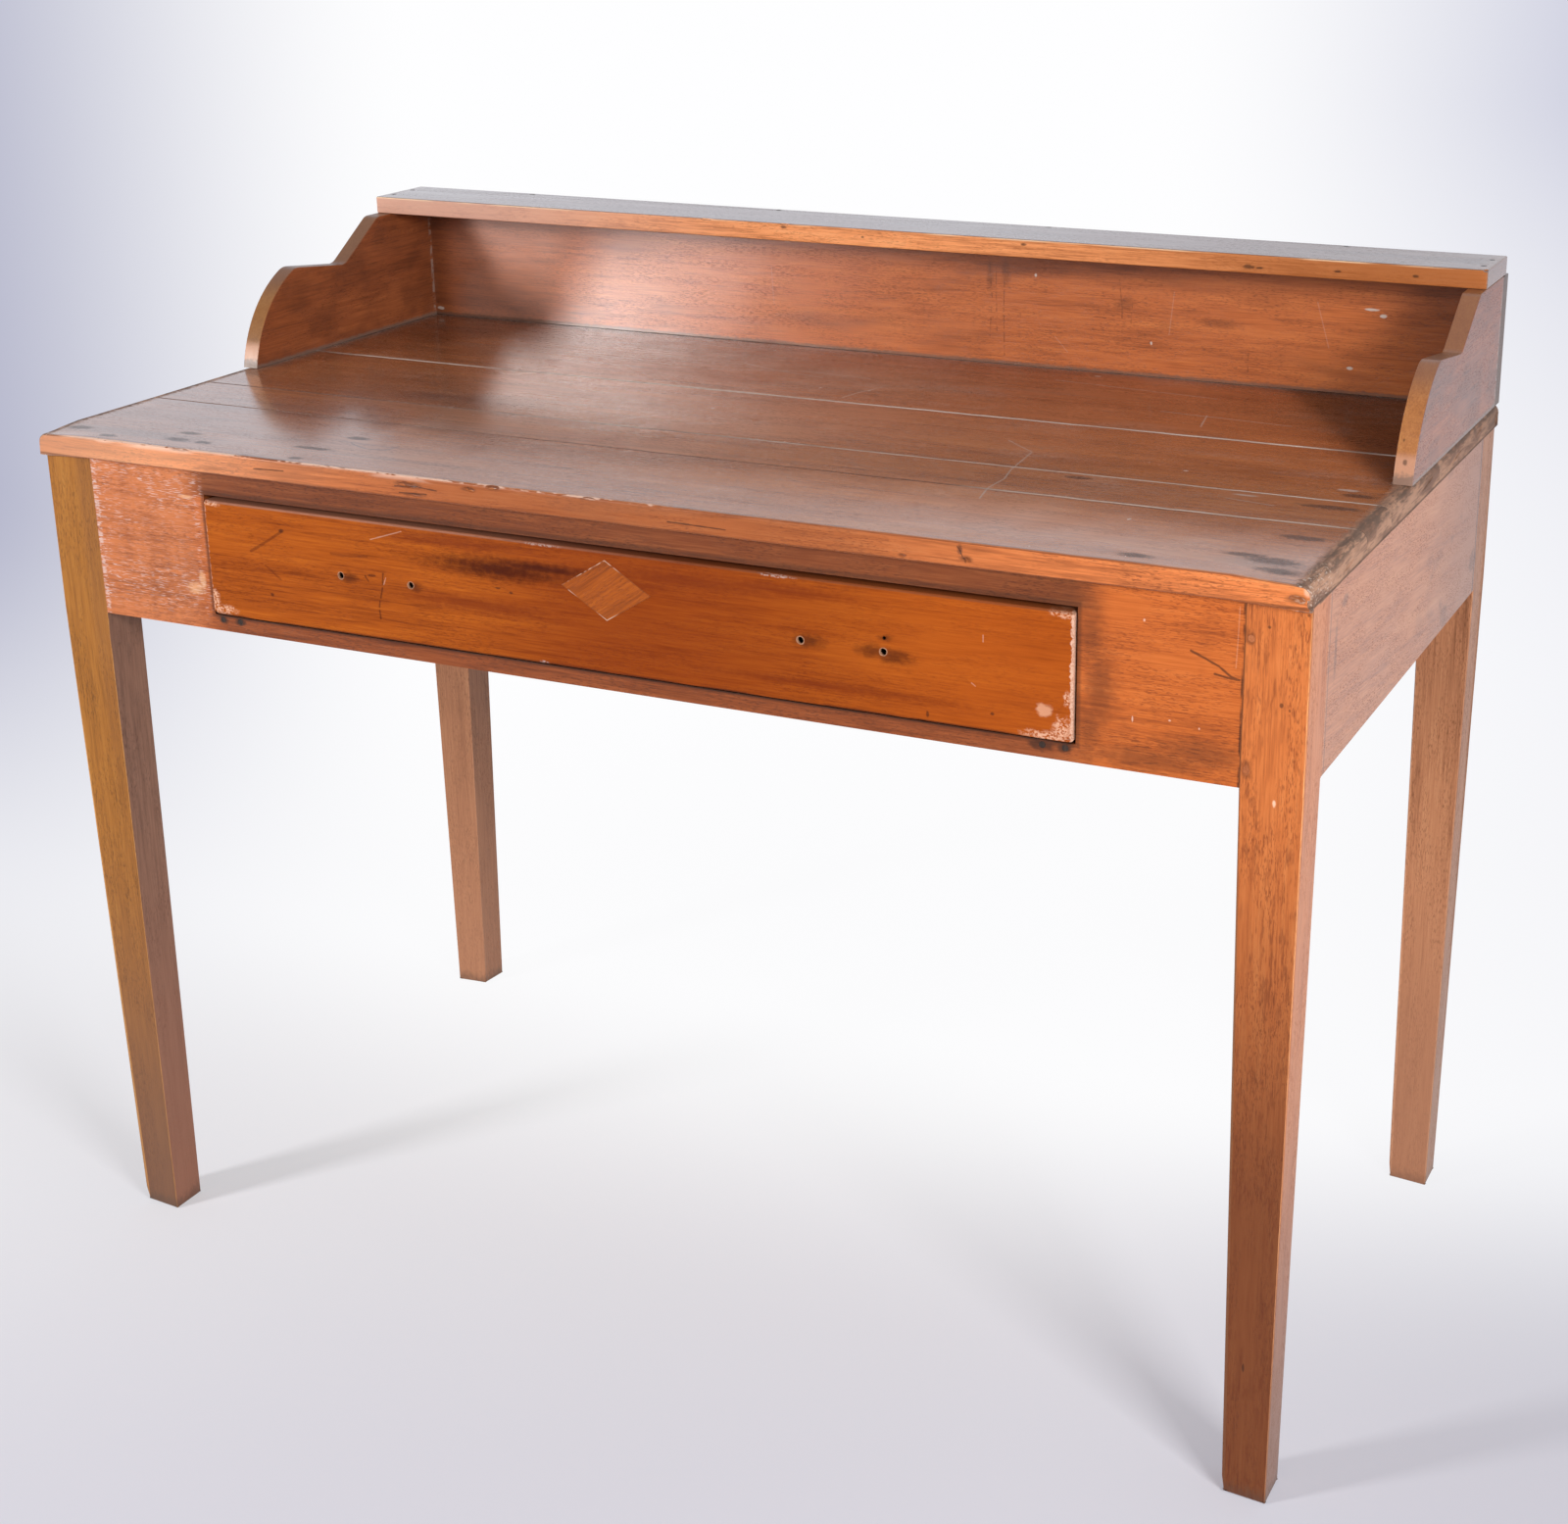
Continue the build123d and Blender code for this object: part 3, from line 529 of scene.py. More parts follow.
def top_board(name, front, back, front_arris, back_arris, cuts=()):
    """One board of the top: its ends rounded over, its arrises taken off and its faces wavy."""
    def at_end(edge):
        return abs(middle(edge).x) > HALF_TOP - HAIR

    board = block(name, (-HALF_TOP, front, UNDERSIDE), (HALF_TOP, back, TOP))
    pick(board, "EDGE", lambda e: runs(e, X))
    bpy.ops.mesh.subdivide(number_cuts=CUTS_ALONG)
    bpy.ops.object.mode_set(mode="OBJECT")
    soften(board, lambda e: at_end(e) and middle(e).z > TOP - HAIR, END_ROUNDING, 5)
    for side, arris, segments in ((front, front_arris, 3), (back, back_arris, 2)):
        soften(board, lambda e: (max(abs(v.co.y - side) for v in e.verts) < HAIR
                                 and (not runs(e, Z) or at_end(e))), arris, segments)
    for cut in cuts:
        pick(board, "VERT", lambda v: True)
        bpy.ops.mesh.bisect(plane_co=(0, cut, 0), plane_no=(0, 1, 0))
        bpy.ops.object.mode_set(mode="OBJECT")
    lump(board, "waves", WAVE_LENGTH, WAVE_DEPTH, 1.0)
    return board


front_board = top_board("worn_front_board", FRONT, SEAMS[0] - SEAM / 2, TOP_FRONT_ARRIS, SEAM_ARRIS,
                        (-0.29, -0.286, -0.28, -0.272, -0.262, -0.248, -0.23, -0.205, -0.178))
narrow_board = top_board("worn_narrow_board", SEAMS[0] + SEAM / 2, SEAMS[1] - SEAM / 2,
                         SEAM_ARRIS, SEAM_ARRIS)
middle_board = top_board("worn_middle_board", SEAMS[1] + SEAM / 2, SEAMS[2] - SEAM / 2,
                         SEAM_ARRIS, SEAM_ARRIS, (-0.04, 0.0, 0.04))
back_board = top_board("worn_back_board", SEAMS[2] + SEAM / 2, BACK, SEAM_ARRIS, TOP_BACK_ARRIS,
                       (0.12, 0.17, 0.22, 0.26))

wear_down(front_board, lambda v: v.co.x < -0.555 and v.co.y < -0.293 and v.co.z > 0.75,
          (0.002, 0.0016, -0.002), 0.05)
wear_down(front_board, lambda v: v.co.x > 0.556 and v.co.y < -0.293 and v.co.z > 0.75,
          (-0.001, 0.0006, -0.0025), 0.06)
EDGE_CHIPS = (
    ((-0.178, FRONT, 0.7525), (0.012, 0.0018, 0.0022), 0.2),
    ((-0.172, FRONT, 0.7445), (0.009, 0.0013, 0.0012), 0.1),
    ((-0.119, FRONT, 0.7545), (0.006, 0.0022, 0.0018), 0.3),
    ((-0.097, FRONT, 0.7585), (0.007, 0.0027, 0.0022), 0.0),
    ((-0.405, FRONT, 0.759), (0.01, 0.0022, 0.0015), 0.0),
    ((-0.01, FRONT, 0.759), (0.008, 0.0022, 0.0014), 0.1),
    ((0.3065, FRONT, 0.7475), (0.005, 0.0014, 0.002), 0.7),
    ((0.302, FRONT, 0.7545), (0.002, 0.001, 0.004), 0.2),
    ((0.256, FRONT, 0.7445), (0.003, 0.001, 0.0014), 0.2),
    ((0.552, FRONT, 0.7475), (0.007, 0.0028, 0.003), 0.4))
break_out(front_board, (*EDGE_CHIPS, ((0.562, FRONT + 0.002, 0.7445), (0.003, 0.006, 0.0035), 0.4),
                        ((HALF_TOP, -0.24, 0.759), (0.004, 0.012, 0.003), 0.2),
                        ((HALF_TOP, -0.205, 0.747), (0.0015, 0.016, 0.0016), 0.1)))
break_out(middle_board, (((HALF_TOP, -0.045, 0.7575), (0.003, 0.014, 0.0026), 0.1),
                         ((HALF_TOP, 0.03, 0.75), (0.0015, 0.02, 0.0014), 0.1)))
break_out(back_board, (((HALF_TOP, 0.13, 0.748), (0.0016, 0.022, 0.0015), 0.1),
                       ((HALF_TOP, 0.215, 0.751), (0.0015, 0.015, 0.0018), 0.2),
                       ((HALF_TOP, 0.288, 0.748), (0.003, 0.008, 0.006), 0.3)))

top_wood = Wood("dark_worn_top", X, (X, Y), 2.0, TOP_GRAIN, 0.6,
                breaks=((SEAMS[0], 3.1), (SEAMS[1], 5.3), (SEAMS[2], 4.7)))
lighter = (top_wood.x + top_wood.broad * 0.5).between(-0.35, 0.55) * top_wood.y.between(0.15, -0.2)
top_wood.stain(lighter, top_wood.grained(*RIGHT_GRAIN))
redder = top_wood.y.between(-0.05, 0.15) * (top_wood.patch + top_wood.x * 0.2).between(0.35, 0.6)
top_wood.stain(redder * 0.6, top_wood.grained(*BACK_BOARD_GRAIN))
# Darker in the back left corner of the top: painted shade between the gallery side and the back board.
top_wood.stain(top_wood.x.between(-0.4, -0.53) * top_wood.y.between(0.08, 0.24) * 0.4, TOP_DARK)
# A dark wedge on the top inside the foot of the right gallery side: a painted shadow of that side.
corner = (top_wood.x - 0.52) * 0.87 + (top_wood.y - 0.01) * 0.5 + top_wood.ragged * 0.008
corner = corner.between(-0.01, 0.022) * top_wood.x.between(0.552, 0.546) * top_wood.y.between(0.283, 0.278)
top_wood.stain(corner * 0.72, (40, 20, 10))
long_streaks = top_wood.noise(120, 60, 2).between(0.54, 0.64) * top_wood.x.between(0.25, -0.25)
top_wood.stain(long_streaks * 0.3, TOP_DARK)
haze = top_wood.noise(18, 2.5, 3).between(0.52, 0.7) * top_wood.noise(700, 3, 1).between(0.35, 0.65)
top_wood.stain(haze * 0.22, DUST)
dark_ovals = top_wood.marks(STAIN_BLACK, 0.8, (
    (-0.537, -0.268, 0.013, 0.005), (-0.493, -0.284, 0.009, 0.004), (-0.429, -0.272, 0.012, 0.005),
    (-0.401, -0.272, 0.008, 0.004), (-0.433, -0.25, 0.011, 0.004), (-0.296, -0.285, 0.007, 0.004),
    (-0.302, -0.252, 0.019, 0.004), (-0.289, -0.209, 0.011, 0.005), (0.429, -0.279, 0.013, 0.005),
    (0.315, -0.093, 0.012, 0.004), (0.532, -0.061, 0.014, 0.005), (0.52, -0.101, 0.024, 0.005),
    (0.526, -0.19, 0.018, 0.006), (0.5, -0.247, 0.016, 0.005), (0.522, -0.254, 0.018, 0.008),
    (0.532, -0.274, 0.016, 0.006)), 0.45, 1.3)
top_wood.marks((92, 58, 46), 0.5, (
    (-0.262, -0.05, 0.045, 0.02), (-0.331, -0.057, 0.03, 0.014), (-0.47, -0.267, 0.08, 0.01),
    (0.52, -0.262, 0.034, 0.012)), 0.7, 1.5)
top_wood.lines(STAIN_BLACK, 0.7, 0.0014, (
    ((-0.283, -0.226), (-0.262, -0.236), (-0.243, -0.234), (-0.24, -0.219)),
    ((0.118, 0.2), (0.16, 0.196), (0.19, 0.199)), ((0.545, -0.052), (0.561, -0.03), (0.563, -0.012))))
top_wood.lines(DUST, 0.6, 0.0011, (
    ((0.218, 0.0), (0.251, -0.03), (0.254, -0.061), (0.257, -0.09), (0.263, -0.118), (0.262, -0.15),
     (0.268, -0.18)), ((-0.131, 0.187), (-0.09, 0.17), (-0.033, 0.157)),
    ((-0.15, 0.15), (-0.06, 0.176), (0.01, 0.17)), ((0.02, 0.091), (0.025, 0.115), (0.035, 0.141)),
    ((0.342, 0.15), (0.35, 0.108)), ((0.3, 0.15), (0.42, 0.14)), ((0.33, 0.215), (0.17, 0.232)),
    ((-0.12, -0.06), (-0.095, -0.03)), ((-0.06, -0.052), (-0.03, -0.04)),
    ((0.44, -0.105), (0.48, -0.112))))
top_wood.marks(DUST, 0.9, (
    (-0.067, 0.0075, 0.0016, 0.0022), (-0.016, 0.119, 0.0013, 0.0018), (0.03, 0.125, 0.0013, 0.0018),
    (0.393, -0.191, 0.0014, 0.0024), (-0.131, 0.25, 0.0016, 0.002), (0.451, -0.092, 0.01, 0.002),
    (0.386, -0.039, 0.002, 0.002), (0.2, 0.262, 0.003, 0.002), (0.52, -0.047, 0.008, 0.003)), 0.3, 0.8)
top_wood.specks(DUST, 0.8, 45, 0.0011, 0.35)
crumbs = top_wood.noise(40, 8, 2).between(0.3, 0.55)
for seam, low, high, strength, width in (
        (SEAMS[0], 0.22, 0.3, 0.75, 0.0024), (SEAMS[1], -0.3, -0.1, 0.65, 0.0022),
        (SEAMS[2], -0.56, -0.5, 1.0, 0.0034)):
    crack = top_wood.near(Y, seam, 0.0024)
    top_wood.stain(crack * 0.75, (70, 48, 40))
    dusty = top_wood.near(Y, seam, width) * crumbs * top_wood.x.between(low, high)
    top_wood.stain(dusty * strength, DUST)
    top_wood.rub(dusty, 0.8)
foot_dust = top_wood.near(Y, GALLERY_BACK - 0.001, 0.0026) * abs(top_wood.x).between(0.548, 0.546)
inner_feet = abs(abs(top_wood.x) - GALLERY_INSIDE + 0.0005).between(0.0022, 0.001)
foot_dust = foot_dust.most(inner_feet * top_wood.y.between(GALLERY_FRONT - 0.002, GALLERY_FRONT + 0.002))
top_wood.stain(foot_dust * crumbs * 0.8, (168, 154, 144))
top_wood.stain(top_wood.y.between(FRONT + 0.0022, FRONT + 0.0008), top_wood.grained(*EDGE_LIP_GRAIN))
broken = top_wood.noise(60, 5, 2)
top_wood.stain(top_wood.near(Y, FRONT + 0.0032, 0.0014) * broken.between(0.56, 0.46) * 0.6, (64, 36, 24))
# A pale line along the front arris, most at the left: partly worn pale wood, partly a painted highlight.
arris = top_wood.near(Y, FRONT + 0.001, 0.0022) * top_wood.near(Z, TOP - 0.001, 0.002)
arris_left = broken - top_wood.x * 0.3 + (top_wood.noise(420, 3, 1) - 0.5) * 0.4
top_wood.stain(arris * arris_left.between(0.57, 0.64) * 0.8, EDGE_PALE)
end = abs(top_wood.x + top_wood.ragged * 0.012).between(0.547, 0.5545)
end_colour = top_wood.noise(90, 5, 3, along=Y).between(0.38, 0.58).blend(END_DARK, END_BROWN)
end_line = top_wood.noise(700, 14, 1, along=Y).between(0.56, 0.63) * 0.45
end_colour = end_line.blend(end_colour, (96, 68, 54))
blotch = top_wood.noise(260, 4.0, 3, along=Y)
shoulder = top_wood.z.between(0.7525, 0.7565) * blotch.between(0.4, 0.58)
shoulder = shoulder.most(blotch.between(0.57, 0.64) * 0.3)
end_colour = (shoulder * 0.75).blend(end_colour, END_GREY)
end_colour = (top_wood.y.between(0.22, 0.27) * top_wood.x.beyond(0) * 0.55).blend(end_colour, END_GREY)
end_crumbs = top_wood.noise(420, 1, 1, along=Y).between(0.6, 0.66) * top_wood.y.between(-0.22, -0.27)
end_colour = (end_crumbs * 0.6).blend(end_colour, (226, 208, 194))
end_colour = (top_wood.near(Z, UNDERSIDE + 0.001, 0.0018) * 0.6).blend(end_colour, CRACK)
top_wood.stain(end * 0.94, end_colour)
top_wood.rough = top_wood.rough - 0.1
top_wood.rub(end, 0.65)
thin = top_wood.y.between(-0.1, 0.16) * 0.42
thin = thin + top_wood.x.between(-0.34, -0.14) * top_wood.x.between(0.35, 0.15) * 0.32
thin = thin.most(corner * 0.85).most(dark_ovals * 0.6)
for seam in SEAMS:
    thin = thin.most(top_wood.near(Y, seam, 0.002))
top_finish = top_wood.close(0.25, 1.0 - end.most(thin), 0.00016, 0.14)

front_edge = Wood("front_edge_varnish", X, (X, Z), 15.0, EDGE_GRAIN, 0.6)
front_edge.stain(abs(front_edge.x - 0.02).between(0.42, 0.12) * 0.62, (118, 58, 24))
front_edge.stain(front_edge.x.between(-0.2, -0.48) * 0.35, (240, 188, 148))
front_edge.stain(front_edge.noise(40, 6, 3).between(0.5, 0.64) * 0.4, (150, 88, 52))
front_edge.stain(front_edge.x.between(-0.4, -0.55) * 0.38, (148, 104, 82))
# A pale run along the upper part of the front edge, towards the left: partly worn wood, partly a painted
# highlight.
pale_run = front_edge.z.between(TOP - 0.0055, TOP - 0.003) * front_edge.noise(60, 5, 2).between(0.5, 0.6)
front_edge.stain(pale_run * front_edge.x.between(0.1, -0.35) * 0.5, EDGE_PALE)
front_edge.lines(CRACK, 0.7, 0.0008, (
    ((-0.19, 0.75), (-0.165, 0.751), (-0.15, 0.75)), ((-0.186, 0.745), (-0.16, 0.746)),
    ((0.06, 0.748), (0.11, 0.747)), ((-0.33, 0.75), (-0.3, 0.751)), ((0.3, 0.756), (0.3065, 0.745))))
front_edge.marks(EDGE_PALE, 0.5, (
    (0.5595, 0.754, 0.0024, 0.004), (0.545, 0.758, 0.014, 0.0008)), 0.5, 1.8)
front_edge.marks((66, 38, 26), 0.6, [
    (spot[0], spot[2], size[0], size[2]) for spot, size, _ in EDGE_CHIPS], 0.5, 1.0)
# Darker along the lower arris of the front edge: painted shade where the top overhangs the apron.
front_edge.stain(front_edge.near(Z, UNDERSIDE + 0.0008, 0.0016) * 0.5, CRACK)
edge_finish = front_edge.close(0.2, depth=0.0002)

for board, node in ((front_board, "top_board_front"), (narrow_board, "top_board_narrow"),
                    (middle_board, "top_board_middle"), (back_board, "top_board_back")):
    leave(board)
    dress(board, top_finish, "desk_frame")
    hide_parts(node)
second_finish(front_board, edge_finish,
              lambda face: face.normal.y < -0.85 and face.center.y < FRONT + 0.004)


# The gallery: two sawn sides, a back board on edge and a narrow shelf, of a red-brown wood whose
# varnish has gone from the edges. Nails hold the sides and the back from under the top, the back
# to the sides and the shelf down on all three.
SIDE_OUTSIDE = 0.5625
SHELF_FRONT = 0.2105
SHELF_TOP = 0.8905
SIDE_ARRIS = 0.0017
BACK_ARRIS = 0.0008
SHELF_ARRIS = 0.0012
SLIVER = 0.00008
SHARP = math.radians(50)
NEARLY_FLAT = math.radians(0.5)


def whole_copy(name, node):
    """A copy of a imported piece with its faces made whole."""
    bpy.ops.object.select_all(action="DESELECT")
    made = bpy.data.objects.new(name, packed[node].data.copy())
    made.data.name = name
    scene.collection.objects.link(made)
    merge(made, SAME_POINT / 2)
    bpy.ops.mesh.dissolve_limited(angle_limit=NEARLY_FLAT)
    bpy.ops.object.mode_set(mode="OBJECT")
    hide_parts(node)
    return made


def plane_off(piece, arris, segments=2, chips=()):
    """Takes all the sharp arrises off a piece, breaks its chips out and smooths it."""
    edge = piece.modifiers.new("arris", "BEVEL")
    edge.width = arris
    edge.segments = segments
    edge.limit_method = "ANGLE"
    edge.angle_limit = SHARP
    bpy.context.view_layer.objects.active = piece
    bpy.ops.object.modifier_apply(modifier="arris")
    merge(piece, SLIVER)
    bpy.ops.mesh.dissolve_degenerate(threshold=SAME_POINT)
    bpy.ops.object.mode_set(mode="OBJECT")
    break_out(piece, chips)
    leave(piece)
    return piece


GALLERY_DARK = (84, 40, 20)
SIDE_GRAIN = (GALLERY_DARK, (150, 80, 42), (186, 106, 58))
RIM_GRAIN = ((130, 76, 30), (182, 116, 56), (206, 146, 84))
FLESH = (214, 160, 130)
DIRT = (112, 98, 88)
BACK_GRAIN = ((96, 46, 22), (184, 100, 52), (210, 124, 66))
SHELF_GRAIN = ((70, 46, 38), (112, 80, 66), (140, 102, 84))
SHELF_EDGE_GRAIN = ((150, 84, 44), (240, 156, 98), (248, 178, 124))


def foot_grime(wood, most, colour):
    """Dirties a gallery board where it stands on the top."""
    wood.stain((wood.z + wood.ragged * 0.004).between(TOP + 0.004, TOP + 0.0015) * most, colour)


side_wood = Wood("gallery_side_varnish", Y, (Y, Z), 21.0, SIDE_GRAIN, 0.4)
side_wood.stain((1 - side_wood.noise(30, 1.5, 3).between(0.35, 0.6)) * 0.4, GALLERY_DARK)
corner_dust = side_wood.near(Y, GALLERY_BACK - 0.002, 0.003) * side_wood.noise(200, 1, 2).between(0.4, 0.6)
side_wood.stain(corner_dust * 0.5, (176, 164, 156))
foot_grime(side_wood, 0.75, (120, 104, 94))
side_wood.specks(DUST, 0.6, 60, 0.0009, 0.2)
side_finish = side_wood.close(0.4, 0.35)

rim_wood = Wood("rubbed_ochre_edge", Y, (X, Z), 33.0, RIM_GRAIN, 0.3)
rim_wood.stain(rim_wood.x.between(-0.54, -0.55) * 0.55, (110, 84, 60))
rim_wood.stain(rim_wood.z.between(0.818, 0.84) * 0.6, (110, 68, 44))
rim_wood.stain(rim_wood.z.between(0.786, 0.778) * 0.75, FLESH)
rim_wood.stain((rim_wood.z + rim_wood.ragged * 0.012).between(0.77, 0.765) * 0.8, DIRT)
rim_wood.stain(rim_wood.x.between(0.54, 0.55) * 0.25, (150, 104, 88))
rim_wood.marks(CRACK, 0.6, ((0.5545, 0.777, 0.0018, 0.0022), (0.551, 0.793, 0.0008, 0.0012)))
rim_finish = rim_wood.close(0.3, 0.2)
for name, node, spot, size in (
        ("sawn_side_left", "gallery_side_left",
         (-SIDE_OUTSIDE, GALLERY_FRONT, 0.786), (0.0015, 0.0016, 0.008)),
        ("sawn_side_right", "gallery_side_right",
         (SIDE_OUTSIDE, GALLERY_FRONT, 0.77), (0.0012, 0.0012, 0.007))):
    side = plane_off(whole_copy(name, node), SIDE_ARRIS, 3, ((spot, size, 0.1),))
    dress(side, side_finish, "desk_frame")
    second_finish(side, rim_finish, lambda face: abs(face.normal.x) < 0.7)

back_wood = Wood("gallery_back_varnish", X, (X, Z), 41.0, BACK_GRAIN, 0.5)
back_wood.stain(back_wood.noise(26, 5, 3).between(0.52, 0.72) * 0.5, (104, 50, 26))
# Darker at the top of the back board: painted shade under the shelf.
back_wood.stain(back_wood.z.between(0.835, 0.874) * 0.5, (86, 40, 20))
# A pale patch at the left of the back board: a painted highlight that widens the left lamp's gloss.
painted_highlight = back_wood.x.between(-0.35, -0.42) * back_wood.x.between(-0.545, -0.49)
painted_highlight = painted_highlight * back_wood.noise(30, 3, 2).between(0.2, 0.5)
back_wood.stain(painted_highlight * 0.22, (236, 204, 192))
# Darker near both ends of the back board: painted shade in the corners beside the gallery sides.
back_wood.stain(back_wood.x.between(-0.515, -0.545).most(back_wood.x.between(0.44, 0.545)) * 0.5,
                (60, 30, 18))
back_wood.stain(abs(back_wood.x).between(0.561, 0.5622) * 0.85, (92, 76, 64))
back_wood.lines((80, 38, 20), back_wood.noise(160, 1, 2).between(0.4, 0.62) * 0.5, 0.0009, (
    ((0.083, 0.858), (0.086, 0.822), (0.084, 0.785)), ((0.099, 0.866), (0.098, 0.812), (0.099, 0.768)),
    ((0.09, 0.85), (0.091, 0.79)), ((0.2125, 0.848), (0.216, 0.822), (0.216, 0.8)),
    ((0.226, 0.828), (0.225, 0.808)), ((0.338, 0.79), (0.338, 0.768)),
    ((-0.071, 0.817), (-0.02, 0.819), (0.023, 0.821)), ((-0.04, 0.812), (0.0, 0.815)),
    ((0.17, 0.812), (0.2, 0.811))))
back_wood.marks((74, 38, 22), 0.35, (
    (0.218, 0.826, 0.008, 0.006), (0.31, 0.814, 0.018, 0.004), (0.1, 0.846, 0.004, 0.012),
    (0.084, 0.842, 0.003, 0.014)), 0.6, 1.8)
back_wood.marks(DUST, 0.85, (
    (0.449, 0.837, 0.006, 0.0012), (0.46, 0.832, 0.003, 0.0016), (0.432, 0.783, 0.003, 0.0014),
    (0.245, 0.791, 0.001, 0.0016), (-0.5405, 0.7665, 0.004, 0.0016),
    (0.13, 0.846, 0.0012, 0.0016)), 0.3, 1.0)
back_wood.lines(DUST, 0.14, 0.0007, (
    ((0.262, 0.8), (0.266, 0.84)), ((0.4, 0.84), (0.412, 0.8)), ((-0.148, 0.836), (-0.146, 0.8)),
    ((0.15, 0.79), (0.163, 0.776))))
foot_grime(back_wood, 0.7, (104, 82, 70))
back_wood.rough = back_wood.rough - 0.05
back = plane_off(whole_copy("planed_gallery_back", "gallery_back"), BACK_ARRIS)
back_gloss = 1.0 - back_wood.x.between(-0.34, -0.1) * 0.78 - back_wood.x.between(0.25, 0.5) * 0.22
dress(back, back_wood.close(0.45, back_gloss, 0.0004, 0.28), "desk_frame")

shelf_wood = Wood("shelf_varnish", X, (X, Y), 51.0, SHELF_GRAIN, 0.4)
shelf_wood.stain(shelf_wood.noise(30, 12, 2).between(0.55, 0.68) * 0.5, (62, 40, 32))
shelf_wood.stain(abs(shelf_wood.x).between(0.545, 0.56) * 0.6, (150, 112, 90))
shelf_wood.rough = shelf_wood.rough - 0.08

shelf_edge = Wood("shelf_edge_varnish", X, (X, Z), 57.0, SHELF_EDGE_GRAIN, 0.4)
shelf_edge.stain(shelf_edge.x.between(-0.1, -0.45) * 0.65, (192, 160, 152))
shelf_edge.stain(shelf_edge.x.between(0.1, 0.5) * 0.8, (150, 82, 34))
shelf_edge.stain(shelf_edge.z.between(0.8885, 0.89) * shelf_edge.noise(40, 4, 2).between(0.45, 0.6) * 0.8,
                 (250, 214, 176))
shelf_edge.marks(CRACK, 0.7, (
    (0.356, 0.88, 0.005, 0.0018), (0.366, 0.8795, 0.004, 0.001), (0.435, 0.881, 0.003, 0.001),
    (-0.098, 0.8872, 0.003, 0.001), (-0.016, 0.883, 0.0015, 0.001), (0.502, 0.8815, 0.0025, 0.0012),
    (0.145, 0.886, 0.003, 0.0012)), 0.5, 1.8)
shelf = plane_off(whole_copy("worn_shelf", "gallery_shelf"), SHELF_ARRIS, chips=(
    ((-0.182, SHELF_FRONT, SHELF_TOP), (0.008, 0.0014, 0.0018), 0.1),
    ((-0.098, SHELF_FRONT, SHELF_TOP), (0.006, 0.0014, 0.0016), 0.1),
    ((0.561, SHELF_FRONT + 0.0005, SHELF_TOP), (0.003, 0.004, 0.002), 0.2)))
shelf_gloss = 1.0 - shelf_wood.x.between(0.0, 0.45) * 0.3
dress(shelf, shelf_wood.close(0.5, shelf_gloss), "desk_frame")
second_finish(shelf, shelf_edge.close(), lambda face: face.normal.y < -0.6)


# The legs: four posts of a plainer, yellower wood, square at the aprons and tapered below them.
# They are oiled or thinly varnished and of another tone at the feet; their arrises are paler, partly rubbed
# wood and partly a painted highlight.
FOOT_X = 0.537
FOOT_Y = 0.268
LEG_INSIDE = 0.5145
FRONT_LEG_BACK = -0.242
BACK_LEG_FRONT = 0.239
LEG_ARRIS = 0.001
FOOT_ROUNDING = 0.0022
CORNER_IN = 0.0016
CORNER_UP = 0.0012


def leg_wood(name, start, ground, foot, most, top=0.45, low=0.0):
    """The wood of a leg, which takes its foot's colour between two heights."""
    wood = Wood(name, Z, (X, Z), start, ground, 0.65)
    wood.stain(wood.z.between(top, low) * most, foot)
    wood.stain((wood.z + wood.ragged * 0.02).between(0.016, 0.002) * 0.5, (84, 68, 58))
    return wood


def leg(name, node, finish, arris_finish, worn_corner):
    """One leg, its arrises rounded and paler (rubbed wood and partly a painted highlight), its foot rounded
    over and most worn at one corner.
    """
    post = whole_copy(name, node)
    soften(post, lambda e: middle(e).z < HAIR, FOOT_ROUNDING, 2)
    plane_off(post, LEG_ARRIS)
    corner = Vector((*worn_corner, 0.0))
    foot = Vector((math.copysign(FOOT_X, corner.x), math.copysign(FOOT_Y, corner.y), 0.0))
    inward = (foot - corner).normalized() * CORNER_IN
    wear_down(post, lambda v: v.co.z < 0.004 and (v.co.xy - corner.xy).length < 0.01,
              (inward.x, inward.y, CORNER_UP), 0.012)
    leave(post)
    dress(post, finish, "desk_frame")
    second_finish(post, arris_finish, lambda face: abs(face.normal.x) > 0.3 and abs(face.normal.y) > 0.3)
    return post


LEFT_LEG_GRAIN = ((104, 62, 16), (158, 99, 33), (178, 120, 48))
LEFT_SIDE_GRAIN = ((92, 60, 46), (136, 98, 78), (160, 118, 96))
LEFT_ARRIS_GRAIN = ((150, 98, 48), (196, 138, 76), (214, 160, 98))
RIGHT_LEG_GRAIN = ((128, 60, 26), (198, 110, 54), (218, 134, 74))
RIGHT_SIDE_GRAIN = ((150, 84, 54), (204, 128, 84), (222, 150, 104))
RIGHT_ARRIS_GRAIN = ((190, 112, 64), (234, 164, 108), (246, 190, 140))
BACK_LEG_GRAIN = ((112, 66, 40), (180, 120, 82), (204, 146, 104))
BACK_ARRIS_GRAIN = ((140, 90, 62), (196, 138, 102), (214, 160, 124))

left_leg = leg_wood("leg_front_left_oil", 61.0, LEFT_LEG_GRAIN, (112, 80, 66), 0.8)
left_leg.stain(left_leg.x.between(-0.532, -0.522) * left_leg.z.between(0.3, 0.6) * 0.35, (128, 80, 42))
left_leg.specks(DUST, 0.7, 50, 0.0008, 0.15)
left_side = leg_wood("leg_front_left_side", 64.0, LEFT_SIDE_GRAIN, (166, 112, 88), 0.75)
pale_arris = leg_wood("leg_left_arris", 65.0, LEFT_ARRIS_GRAIN, (150, 106, 76), 0.5)
post = leg("post_front_left", "leg_front_left", left_leg.close(0.25), pale_arris.close(), (-0.548, -0.286))
second_finish(post, left_side.close(0.2), lambda face: face.normal.x > 0.7)

